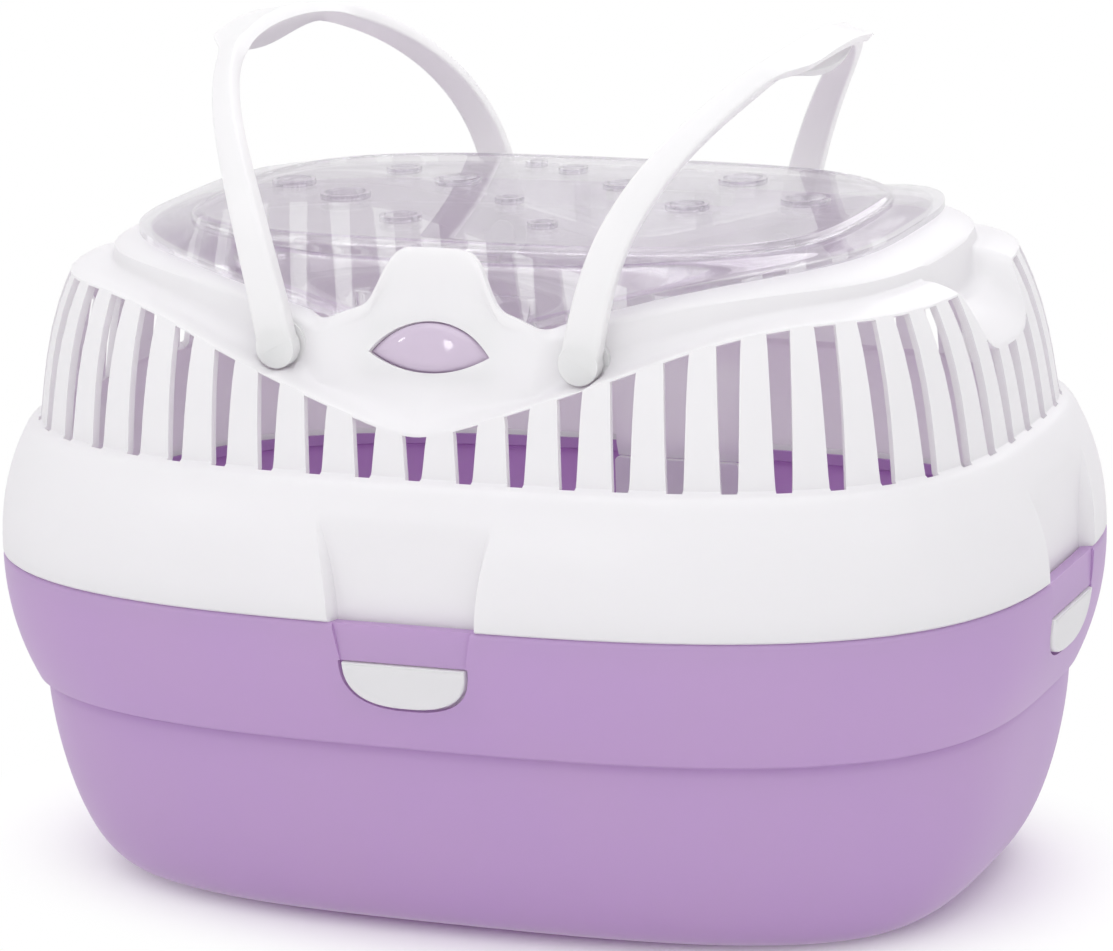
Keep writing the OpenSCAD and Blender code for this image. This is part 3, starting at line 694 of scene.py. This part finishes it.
    # skirt with its four flat recesses
    z = np.empty((rows, s.shape[1]))
    inset = np.empty_like(z)
    z[:len(v)] = PART_Z + v[:, None] * SKIRT_H
    inset[:len(v)] = RIM_IN + SKIRT_IN * v[:, None] ** 2.3
    inset[0] += .7
    sk = slice(0, len(v))
    edge = flare_half(z[sk])
    for reach, offset, lateral, normal in (
            (BODY_B, np.abs(by[sk]), np.abs(bx[sk]), np.abs(ny[sk])),
            (BODY_A, np.abs(bx[sk]), np.abs(by[sk]), np.abs(nx[sk]))):
        flat = (offset - reach + RECESS_IN) / np.maximum(normal, .5)
        inside = (1 - smooth(lateral, edge - .5, edge + .72)) * (normal > .7)
        deep = np.maximum(flat - inset[sk], 0)
        # a soft corner of 0.3 mm between the skirt and the recess
        inset[sk] += inside * np.maximum(np.sqrt(deep * deep + .09) - .3 * np.exp(-deep), 0)
        z[:2] -= 3.5 * (inside[:2] > .98)
    first = a + 1 + len(LEDGE)
    for row, (up, back) in zip(range(a + 1, first), LEDGE):
        z[row], inset[row] = SILL_Z + up, inset[a] + back
    base = z[first - 1]
    z[first:b + 1] = base + np.maximum(bars[:, None] * (head[first:b + 1] - base),
                                       .9 + bars[:, None])
    z[b] = head[b]
    inset[first:b + 1] = wall_inset(z[first:b + 1])
    z[b + 1:], inset[b + 1:] = over_ridge(line_z[1:]), over_ridge(line_i[1:])
    di, dz = np.gradient(inset, axis=0), np.gradient(z, axis=0)
    size = np.hypot(di, dz)
    inner_i, inner_z = inset + thick * dz / size, z - thick * di / size
    inner_i[0], inner_z[0] = inset[0] + thick, z[0]
    inner_z[b + 1:], inner_i[b + 1:] = over_ridge(in_z), over_ridge(in_i)
    inner_i[b], inner_z[b] = in_i[0][b], in_z[0][b]

    def points(i_, z_):
        x, y = body_point(phi, i_)
        return np.stack([x, y, z_], -1)
    outer = points(inset, z)
    # pockets that the handles' round feet turn in
    dx = np.abs(outer[..., 0]) - PIVOT_X
    reach = FOOT_R + GAP
    low = PIVOT_Z - np.sqrt(np.maximum(reach * reach - dx * dx, 0))
    pocket = (np.abs(outer[..., 1]) > PIVOT_Y - GAP) & (np.abs(dx) < reach) & (outer[..., 2] > low)
    pocket &= (np.arange(rows) > b)[:, None]
    outer[..., 2] = np.where(pocket, low, outer[..., 2])
    return outer, points(inner_i, inner_z), a, b


def cover_shell():
    outer, inner, a, b = cover_sheets()
    a += len(LEDGE) - 1
    rows, cols = outer.shape[:2]
    quads = lattice(rows, cols)
    r, c = np.divmod(quads[:, 0], cols)
    open_ = (c % 10 < 4) & (r >= a) & (r < b)
    return shell(outer.reshape(-1, 3), inner.reshape(-1, 3), quads[~open_])


def disc(radius, low, high, place, cols=48):
    """Closed round disc between two local heights."""
    q = np.linspace(0, 2 * np.pi, cols, endpoint=False)
    points, faces = prism(np.stack([np.cos(q), np.sin(q)], 1) * radius, low, high)
    return place(points), faces


def pivot_place(sx, sy):
    """Placer with its axis along Y through a handle's pivot, pointing outwards."""
    def place(p):
        return np.stack([sx * PIVOT_X - sy * p[:, 0], sy * p[:, 2], PIVOT_Z + p[:, 1]], 1)
    return place


def hinge_ear(x0):
    """Ear on the collar's back: a foot that widens downwards and a round eye for the pin."""
    q = np.radians(np.arange(-20, 181, 10))
    top = np.stack([HINGE_Y + EAR_R * np.cos(q), HINGE_Z + EAR_R * np.sin(q)], 1)
    y0 = LID_B + 2 * GAP
    top = top[top[:, 0] > y0]
    outline = np.concatenate([[[y0, HINGE_Z - 13], [HINGE_Y + EAR_R - 3, HINGE_Z - 16]],
                              top, [[y0, top[-1, 1]]]])
    points, faces = prism(outline, 0, EAR_T)
    return np.stack([x0 + points[:, 2], points[:, 0], points[:, 1]], 1), faces


def build_cover():
    cover = make_object("cover_moulding", cover_shell(), 32)
    points, faces = prism(eye(GAP), -9, 9)
    cut(cover, (on_tab(points), faces))
    parts = []
    for sx in (-1, 1):
        for sy in (-1, 1):
            parts.append(disc(FOOT_R + 1, PIVOT_Y - GAP - SEAT_T, PIVOT_Y - GAP,
                              pivot_place(sx, sy)))
        parts.append(hinge_ear(HINGE_X if sx > 0 else -HINGE_X - EAR_T))
    extras = make_object("cover_lugs", joined(parts))
    with bpy.context.temp_override(active_object=cover, selected_editable_objects=[cover, extras]):
        bpy.ops.object.join()
    finish_piece(cover, "cover", "cover", finish_of("white_polypropylene"))


# ---------------------------------------------------------------- lid

def lid_shell():
    """Clear lid: a flat top with a bead round it, a skirt that follows the collar, and a flange.

    Each key is an inset from the lid's edge, a share of the fall to the collar and a lift. The
    bead's depth shrinks where the collar climbs up to the top at the two ends.
    """
    outer = np.array([[0, 1, 0, 0], [3.4, 1, 0, 0], [5, .86, 0, 0], [8, .5, 0, 0],
                      [11.4, .18, 0, 0], [13.5, 0, 0, -3], [12.9, 0, 0, -2.5], [12.9, 0, .9, 0],
                      [13.6, 0, 1.7, 0], [14.8, 0, 2.35, 0], [16.4, 0, 2, 0], [20, 0, 2, 0]])
    inner = outer + [[0, 0, -LID_T, 0], [1.2, 0, -LID_T, 0], [1.5, -.02, -1.6, 0],
                     [1.6, 0, -1, 0], [1.6, 0, -.6, 0], [1.6, 0, -.2, -.3], [2.2, 0, -.2, .3],
                     [2.2, 0, -1.7, 0], [2.1, 0, -1.9, 0], [1.6, 0, -2.15, 0],
                     [.8, 0, -LID_T, 0], [0, 0, -LID_T, 0]]
    weights = corner_cut(len(outer), 2)
    cols = 240
    phi = np.linspace(0, 2 * np.pi, cols, endpoint=False)[None, :]
    foot = saddle(superellipse(phi, LID_A, LID_B, SEAT_N)[0],
                  INNER_LOW, INNER_HIGH, INNER_SLOPE) + GAP + LID_T
    fall = foot - LID_Z + 2
    squeeze = np.clip(-fall / 9, 0, 1)

    def sheet(keys):
        w = weights @ keys
        x, y = superellipse(phi, LID_A - w[:, :1], LID_B - w[:, :1], SEAT_N)
        z = LID_Z - 2 + w[:, 1:2] * fall + w[:, 2:3] + w[:, 3:] * squeeze
        return np.stack([x, y, z], -1).reshape(-1, 3)
    quads = lattice(len(weights), cols)
    top = (len(weights) - 1) * cols + np.arange(cols)
    return shell(sheet(outer), sheet(inner), quads, [top])


def build_lid():
    lid = make_object("clear_lid", lid_shell(), 40)
    rings = joined([disc(r, LID_Z - LID_T - 1.2, LID_Z + .8, upright(x, y)) for x, y, r in VENTS])
    cut(lid, rings, "UNION")
    lip = prism(rounded(14, 1.8, .8), LID_Z - 4.4, LID_Z - 2.4)
    cut(lid, moved(lip, 0, -(LID_B - 13) - .4, 0), "UNION")
    bores = [disc(r - VENT_WALL, LID_Z - 8, LID_Z + 3, upright(x, y)) for x, y, r in VENTS]
    cut(lid, joined(bores))
    # notch clear of the tab, with the plate that the button's spring bears on
    notch_w, catch_y = LATCH_W + LATCH_ROOM, LID_B - 6.6
    notch = prism(rounded(notch_w / 2, 7, .5), 0, LID_Z - 13)
    cut(lid, moved(notch, 0, -catch_y - 7, 0))
    plate = prism(rounded(notch_w / 2 + 1, LID_T / 2, .3), TAB_Z - 6, LID_Z - 12)
    cut(lid, moved(plate, 0, -catch_y + LID_T / 2, 0), "UNION")
    lugs = []
    for sx in (-1, 1):
        def place(p, sx=sx):
            return np.stack([sx * (HINGE_X - GAP - p[:, 2]), HINGE_Y + sx * p[:, 0],
                             HINGE_Z + p[:, 1]], 1)
        lugs.append(disc(HINGE_R + 2, 0, 7.6, place, 32))
        lugs.append(disc(HINGE_R, -EAR_T, 1, place, 32))
        arm = prism(rounded(3.8, 5.05, .3), HINGE_Z - 1.6, HINGE_Z + HINGE_R + 1.9)
        lugs.append(moved(arm, sx * (HINGE_X - GAP - 3.8), LID_B - 6.5 + 5.05, 0))
    for lug in lugs:
        cut(lid, lug, "UNION")
    finish_piece(lid, "lid", "lid", finish_of("clear_polystyrene"), more=-0.1, angle=45)


def build_lid_button():
    """Eye-shaped lens: rings of the eye shrink to its middle under a shallow dome."""
    rings = np.array([1, 1, .985, .95, .88, .75, .6, .45, .3, .15, .04])
    lift = np.array([0, 0, .35, .62, .82, .97, 1, 1, 1, 1, 1])
    back = -wall() - GAP
    xy = rings[:, None, None] * eye(0)
    xy[..., 1] += (1 - rings[:, None]) * 2
    sunk = 1.4
    dome = sunk - (xy[..., 0] ** 2 + (xy[..., 1] - 2) ** 2) / LENS_ROUND
    z = -sunk + lift[:, None] * (dome + sunk)
    z[0], z[1] = back - .7, -sunk
    points, faces = tube(np.concatenate([xy, z[..., None]], -1))
    plate = prism(rounded(LATCH_W / 2, 7.75, 1.2) + [0, 1.75], back - 1.4, back)
    button = make_object("lid_catch_button", (on_tab(points), faces), 30)
    cut(button, (on_tab(plate[0]), plate[1]), "UNION")
    finish_piece(button, "lid_button", "lid_button",
                 finish_of("clear_button_polystyrene"), more=-0.1, angle=45)


# ---------------------------------------------------------------- handles

def arch(y, a, h):
    """Reach from the pivots at y on a superellipse arch of half width a and reach h."""
    return LEG_S + (h - LEG_S) * np.maximum(1 - np.abs(y / a) ** ARC_N, 0) ** (1 / ARC_N)


def bow_at(s):
    """How far the bail bulges towards the other handle: half a sine wave over its reach."""
    return BOW * np.sin(np.pi * np.clip(s / BAIL_H, 0, 1))


def bail_sections():
    """Sections along the bail, from one foot over the grip to the other.

    A section is 32 points of a rounded strap, square to the arch. Under the hand each point moves
    to the grip: a plate that flares and rises outwards, a floor under it that dips at the
    middle, and between the two a hollow that opens outwards.
    """
    mid_y, mid_h = PIVOT_Y + STRAP_T / 2, BAIL_H - STRAP_T / 2
    u = np.radians(np.linspace(90, 0, 61))
    leg_y = mid_y * np.sin(u) ** (2 / ARC_N)
    ys = np.concatenate([np.full(6, mid_y), leg_y[1:-1]])
    ss = np.concatenate([np.linspace(0, LEG_S, 6), arch(leg_y[1:-1], mid_y, mid_h)])
    y = np.concatenate([-ys, [0], ys[::-1]])
    s = np.concatenate([ss, [mid_h], ss[::-1]])
    dy, ds = np.gradient(y), np.gradient(s)
    size = np.hypot(dy, ds)
    half = (STRAP_FOOT + (STRAP_TOP - STRAP_FOOT) * np.minimum(1, s / STRAP_EVEN)) / 2
    # unit rounded square, anticlockwise from its inner upper corner
    q = np.linspace(0, 2 * np.pi, 32, endpoint=False) + np.pi / 4
    mx, mt = signed_power(np.cos(q), .28), signed_power(np.sin(q), .28)
    strap = np.stack([bow_at(s)[:, None] + half[:, None] * mx,
                      y[:, None] - STRAP_T / 2 * mt * (ds / size)[:, None],
                      s[:, None] + STRAP_T / 2 * mt * (dy / size)[:, None]], -1)
    # the grip's corners at the same counts, each (across, up); flare is 1 under the hand
    outer_y = PIVOT_Y + STRAP_T
    top = arch(y, outer_y, BAIL_H)
    flare = 1 - smooth(np.abs(y), 22, 35)
    dip = np.maximum(1 - (y / 27) ** 2, 0) ** 1.5
    low = top - STRAP_T - GRIP_DIP * dip
    out = -half - GRIP_OUT * flare
    rise = top + 1.7 * flare
    corners = np.stack([
        np.stack([half, top - 1.3 * flare], 1), np.stack([out, rise], 1),
        np.stack([out, rise - GRIP_SKIN], 1),
        np.stack([4.6 * flare - half, top - GRIP_SKIN - .4 - .4 * flare], 1),
        np.stack([-half - 4.3 * dip ** .7, low + .6 + (GRIP_FLOOR - .6) * dip], 1),
        np.stack([-half - 4.7 * dip ** .7, low], 1),
        np.stack([half, top - STRAP_T - .5 * dip], 1)], 1)
    stops = np.array([0, 8, 10, 12, 14, 16, 24, 32])
    closed = np.concatenate([corners, corners[:, :1]], 1)
    at = np.arange(32)
    run = np.searchsorted(stops, at, side="right") - 1
    t = ((at - stops[run]) / (stops[run + 1] - stops[run]))[None, :, None]
    flat = closed[:, run] * (1 - t) + closed[:, run + 1] * t
    grip = np.stack([flat[..., 0] + bow_at(flat[..., 1]),
                     np.broadcast_to(y[:, None], flat.shape[:2]), flat[..., 1]], -1)
    w = (1 - smooth(np.abs(y), GRIP_HALF - 2, GRIP_HALF + 11))[:, None, None]
    return strap + w * (grip - strap)


def bail_part():
    """The bail in its own frame, with round feet and the studs that snap into the cover."""
    parts = [tube(bail_sections())]
    for sy in (-1, 1):
        def place(p, sy=sy):
            return np.stack([-sy * p[:, 0], sy * (PIVOT_Y + p[:, 2]), p[:, 1]], 1)
        parts.append(disc(STRAP_FOOT / 2, .05, STRAP_T - .05, place))
        behind = -SEAT_T - 2 * GAP
        parts.append(disc(STUD_R, behind - STUD_HEAD / 2, .8, place, 32))
        parts.append(disc(STUD_R + STUD_LIP, behind - STUD_HEAD, behind, place, 32))
    return joined(parts)


def build_handle(side):
    points, faces = bail_part()
    sign = -1 if side == "left" else 1
    lean = sign * LEAN[side]
    if side == "right":
        points, faces = points * [-1, 1, 1], [face[::-1] for face in faces]
    x = points[:, 0] * np.cos(lean) + points[:, 2] * np.sin(lean)
    z = -points[:, 0] * np.sin(lean) + points[:, 2] * np.cos(lean)
    placed = np.stack([sign * PIVOT_X + x, points[:, 1], PIVOT_Z + z], 1)
    handle = make_object(f"{side}_handle_bail", (placed, faces), 40)
    finish_piece(handle, f"handle_{side}", f"handle_{side}",
                 finish_of("white_polypropylene"), angle=50)


# ---------------------------------------------------------------- release buttons

def build_release_button(side):
    """Half-moon button: its outline shrinks over a soft edge to a face that leans as the tub."""
    place = on_side(side)
    outline = half_moon(0)
    centre = np.array([0, BUTTON_TOP - BUTTON_H * .42])
    grow = np.array([0, 0, .12, .45, .9, 3, 9])
    lift = np.array([-PLATE_IN - .4, -1.0, -.35, -.06, 0, 0, 0])
    size = np.hypot(*(outline - centre).T).mean()
    rings = centre + (outline - centre)[None] * (1 - grow / size)[:, None, None]
    face = -MOON_SET - (BUTTON_TOP - rings[..., 1]) * np.tan(MOON_LEAN)
    out = np.where(np.arange(len(grow))[:, None] == 0, lift[0], face + lift[:, None])
    loops = np.concatenate([rings, out[..., None]], -1)
    moon = tube(loops)
    tongue_top, tongue_low = PART_Z - 3.6, BUTTON_TOP - BUTTON_H - 1
    tongue = prism(rounded(BUTTON_W / 2 + 2, (tongue_top - tongue_low) / 2, 1.5)
                   + [0, (tongue_top + tongue_low) / 2], -PLATE_IN - 2, -PLATE_IN)
    points, faces = joined([moon, tongue])
    button = make_object(f"release_button_{side}", (place(points), faces), 40)
    finish_piece(button, f"button_{side}", f"button_{side}",
                 finish_of("white_polypropylene"), more=-0.1, angle=50)


# ---------------------------------------------------------------- stage

LAMPS = (  # name, place, size in metres, power in watts
    ("overhead", (0.0, -0.25, 1.5), 1.6, 8.9), ("window_left", (-1.5, -0.9, 0.9), 1.1, 0.3),
    ("window_right", (1.5, -0.7, 0.8), 1.1, 1.6), ("window_back", (0.1, 1.5, 1.3), 1.6, 8.0),
    ("spark_left", (-1.3, -1.4, 0.85), 0.2, 1.2), ("spark_middle", (-0.4, -1.85, 0.85), 0.2, 1.2))
LAMP_TARGET = np.array([0, 0, .1])
FLOOR_HALF = 4e3

# The view: frame, focal length and principal point in pixels, angles in degrees, place in mm
FRAME_PX, FOCAL_PX, CENTRE_PX, SENSOR = (1113, 951), 5134.945, (541.915, 477.49), 36.0
AZIMUTH, ELEVATION, ROLL = 22.791, 14.053, -2.033
VIEW_PLACE = (528.32, -1263.62, 450.11)


def white_ground(name, pale, near, far):
    """Plain floor: lit paper round the object, which fades to white towards the horizon.

    near and far are the distances from the object, in metres, between which it fades. It is
    white in reflections and through clear walls too, so that gloss and glass show it.
    """
    material, tree = new_material(name)
    paper = add_node(tree, "ShaderNodeBsdfDiffuse", Color=linear(pale))
    white = add_node(tree, "ShaderNodeEmission", Color=(1, 1, 1, 1), Strength=1.0)
    place = add_node(tree, "ShaderNodeTexCoord").outputs["Object"]
    # ovals like the foot's outline: 1.6 times as long as wide
    oval = add_node(tree, "ShaderNodeVectorMath", {0: place}, operation="MULTIPLY")
    oval.inputs[1].default_value = (1.0, 1.6, 1.0)
    reach = add_node(tree, "ShaderNodeVectorMath", {0: oval.outputs[0]}, operation="LENGTH")
    fade = add_node(tree, "ShaderNodeMapRange", {"Value": reach.outputs["Value"]},
                    interpolation_type="SMOOTHSTEP")
    fade.inputs["From Min"].default_value = near
    fade.inputs["From Max"].default_value = far
    path = add_node(tree, "ShaderNodeLightPath")
    seen = add_node(tree, "ShaderNodeMath", {0: fade.outputs[0],
                                             1: path.outputs["Is Camera Ray"]},
                    operation="MULTIPLY")
    for ray in ("Is Glossy Ray", "Is Transmission Ray"):
        seen = add_node(tree, "ShaderNodeMath", {0: seen.outputs[0], 1: path.outputs[ray]},
                        operation="MAXIMUM")
    both = add_node(tree, "ShaderNodeMixShader", {
        0: seen.outputs[0], 1: paper.outputs[0], 2: white.outputs[0]})
    add_node(tree, "ShaderNodeOutputMaterial", {"Surface": both.outputs[0]})
    return material


def build_stage():
    corners = np.array([[-1, -1, 0], [1, -1, 0], [1, 1, 0], [-1, 1, 0]]) * FLOOR_HALF
    floor = make_object("studio_floor", (corners, [[0, 1, 2, 3]]))
    floor.data.materials.append(white_ground("white_paper", "#fdfdfd", 0.11, 0.19))
    world = bpy.data.worlds.new("studio")
    bpy.context.scene.world = world
    tree = emptied(world)
    path = add_node(tree, "ShaderNodeLightPath")
    seen = path.outputs["Is Camera Ray"]
    for ray in ("Is Glossy Ray", "Is Transmission Ray"):
        seen = add_node(tree, "ShaderNodeMath", {0: seen, 1: path.outputs[ray]},
                        operation="MAXIMUM").outputs[0]
    soft = add_node(tree, "ShaderNodeBackground", Color=(1, 1, 1, 1),
                    Strength=sizes().ambient)
    white = add_node(tree, "ShaderNodeBackground", Color=(1, 1, 1, 1), Strength=1.0)
    both = add_node(tree, "ShaderNodeMixShader", {0: seen, 1: soft.outputs[0],
                                                  2: white.outputs[0]})
    add_node(tree, "ShaderNodeOutputWorld", {"Surface": both.outputs[0]})
    for name, at, size, power in LAMPS:
        lamp = bpy.data.lights.new(name, "AREA")
        lamp.shape, lamp.size, lamp.energy = "DISK", size, power
        obj = bpy.data.objects.new(name, lamp)
        bpy.context.scene.collection.objects.link(obj)
        obj.matrix_world = look(np.array(at), LAMP_TARGET)
    camera = bpy.data.cameras.new("view")
    camera.sensor_fit, camera.sensor_width = "HORIZONTAL", SENSOR
    width, height = FRAME_PX
    camera.lens = FOCAL_PX / width * SENSOR
    camera.shift_x = (width / 2 - CENTRE_PX[0]) / width
    camera.shift_y = (CENTRE_PX[1] - height / 2) / width
    camera.clip_start, camera.clip_end = .05, 30
    obj = bpy.data.objects.new("view", camera)
    bpy.context.scene.collection.objects.link(obj)
    obj.matrix_world = camera_matrix()
    bpy.context.scene.camera = obj
    bpy.context.scene.view_settings.view_transform = "Standard"


def matrix(*columns):
    """Matrix of the three axes and the place that are its columns."""
    m = np.eye(4)
    m[:3] = np.stack(columns, 1)
    return Matrix(m.tolist())


def camera_matrix():
    """Matrix of a camera from its azimuth, elevation and roll."""
    az, el, roll = np.radians([AZIMUTH, ELEVATION, ROLL])
    back = np.array([np.sin(az) * np.cos(el), -np.cos(az) * np.cos(el), np.sin(el)])
    right = np.array([np.cos(az), np.sin(az), 0])
    up = np.cross(back, right)
    r2 = np.cos(roll) * right + np.sin(roll) * up
    u2 = -np.sin(roll) * right + np.cos(roll) * up
    return matrix(r2, u2, back, np.array(VIEW_PLACE) * MM)


def look(at, target):
    """Matrix of a lamp at one point that faces another."""
    back = (at - target) / np.linalg.norm(at - target)
    right = np.cross([0, 0, 1.0], back)
    right /= np.linalg.norm(right)
    return matrix(right, np.cross(back, right), back, at)


# ---------------------------------------------------------------- panel and operators

class CarrierSettings(bpy.types.PropertyGroup):
    """Sizes and colours of the carrier's looks."""
    white: bpy.props.FloatVectorProperty(
        name="White", description="Colour of the cover, handles and release buttons",
        subtype="COLOR_GAMMA", size=3, min=0, max=1, default=(0.98, 0.988, 0.988))
    lilac: bpy.props.FloatVectorProperty(
        name="Lilac", description="Colour of the tub",
        subtype="COLOR_GAMMA", size=3, min=0, max=1, default=(0.79, 0.68, 0.83))
    wall: bpy.props.FloatProperty(
        name="Wall", description="Thickness of the tub's and the cover's walls",
        subtype="DISTANCE", unit="LENGTH", min=0.0015, max=0.003, default=0.0022)
    edge: bpy.props.FloatProperty(
        name="Edge radius", description="Radius of the moulded edges; the tub's is 0.4 mm more",
        subtype="DISTANCE", unit="LENGTH", min=0.0001, max=0.0006, default=0.0003)
    polish: bpy.props.FloatProperty(
        name="Polish", description="Roughness of the coloured plastic",
        subtype="FACTOR", min=0.05, max=1, default=0.3)
    ambient: bpy.props.FloatProperty(
        name="Ambient", description="Strength of the light from all round",
        min=0, max=2, default=0.84)


class CARRIER_OT_tub(bpy.types.Operator):
    """Builds the lilac tub"""
    bl_idname, bl_label = "carrier.tub", "Tub"

    def execute(self, context):
        build_tub()
        return {"FINISHED"}


class CARRIER_OT_cover(bpy.types.Operator):
    """Builds the slotted cover with its collar and tab"""
    bl_idname, bl_label = "carrier.cover", "Cover"

    def execute(self, context):
        build_cover()
        return {"FINISHED"}


class CARRIER_OT_lid(bpy.types.Operator):
    """Builds the clear lid and its push button"""
    bl_idname, bl_label = "carrier.lid", "Lid"

    def execute(self, context):
        build_lid()
        build_lid_button()
        return {"FINISHED"}


class CARRIER_OT_handles(bpy.types.Operator):
    """Builds the two bail handles"""
    bl_idname, bl_label = "carrier.handles", "Handles"

    def execute(self, context):
        for side in ("left", "right"):
            build_handle(side)
        return {"FINISHED"}


class CARRIER_OT_buttons(bpy.types.Operator):
    """Builds the four half-moon release buttons"""
    bl_idname, bl_label = "carrier.buttons", "Release buttons"

    def execute(self, context):
        for side in SIDES:
            build_release_button(side)
        return {"FINISHED"}


class CARRIER_OT_stage(bpy.types.Operator):
    """Builds the floor, the lamps, the world and the camera"""
    bl_idname, bl_label = "carrier.stage", "Stage"

    def execute(self, context):
        build_stage()
        return {"FINISHED"}


OPERATORS = (CARRIER_OT_tub, CARRIER_OT_cover, CARRIER_OT_lid, CARRIER_OT_handles,
             CARRIER_OT_buttons, CARRIER_OT_stage)


class CARRIER_PT_panel(bpy.types.Panel):
    """Sidebar panel with the settings and the pieces"""
    bl_idname, bl_label = "CARRIER_PT_panel", "Carrier"
    bl_space_type, bl_region_type, bl_category = "VIEW_3D", "UI", "Carrier"

    def draw(self, context):
        for name in CarrierSettings.__annotations__:
            self.layout.prop(context.scene.carrier, name)
        for operator in OPERATORS:
            self.layout.operator(operator.bl_idname)


CLASSES = (CarrierSettings, *OPERATORS, CARRIER_PT_panel)


def register():
    for cls in CLASSES:
        bpy.utils.register_class(cls)
    bpy.types.Scene.carrier = bpy.props.PointerProperty(type=CarrierSettings)


def unregister():
    del bpy.types.Scene.carrier
    for cls in reversed(CLASSES):
        bpy.utils.unregister_class(cls)


def main():
    register()
    for operator in OPERATORS:
        group, name = operator.bl_idname.split(".")
        getattr(getattr(bpy.ops, group), name)()


if __name__ == "__main__":
    main()
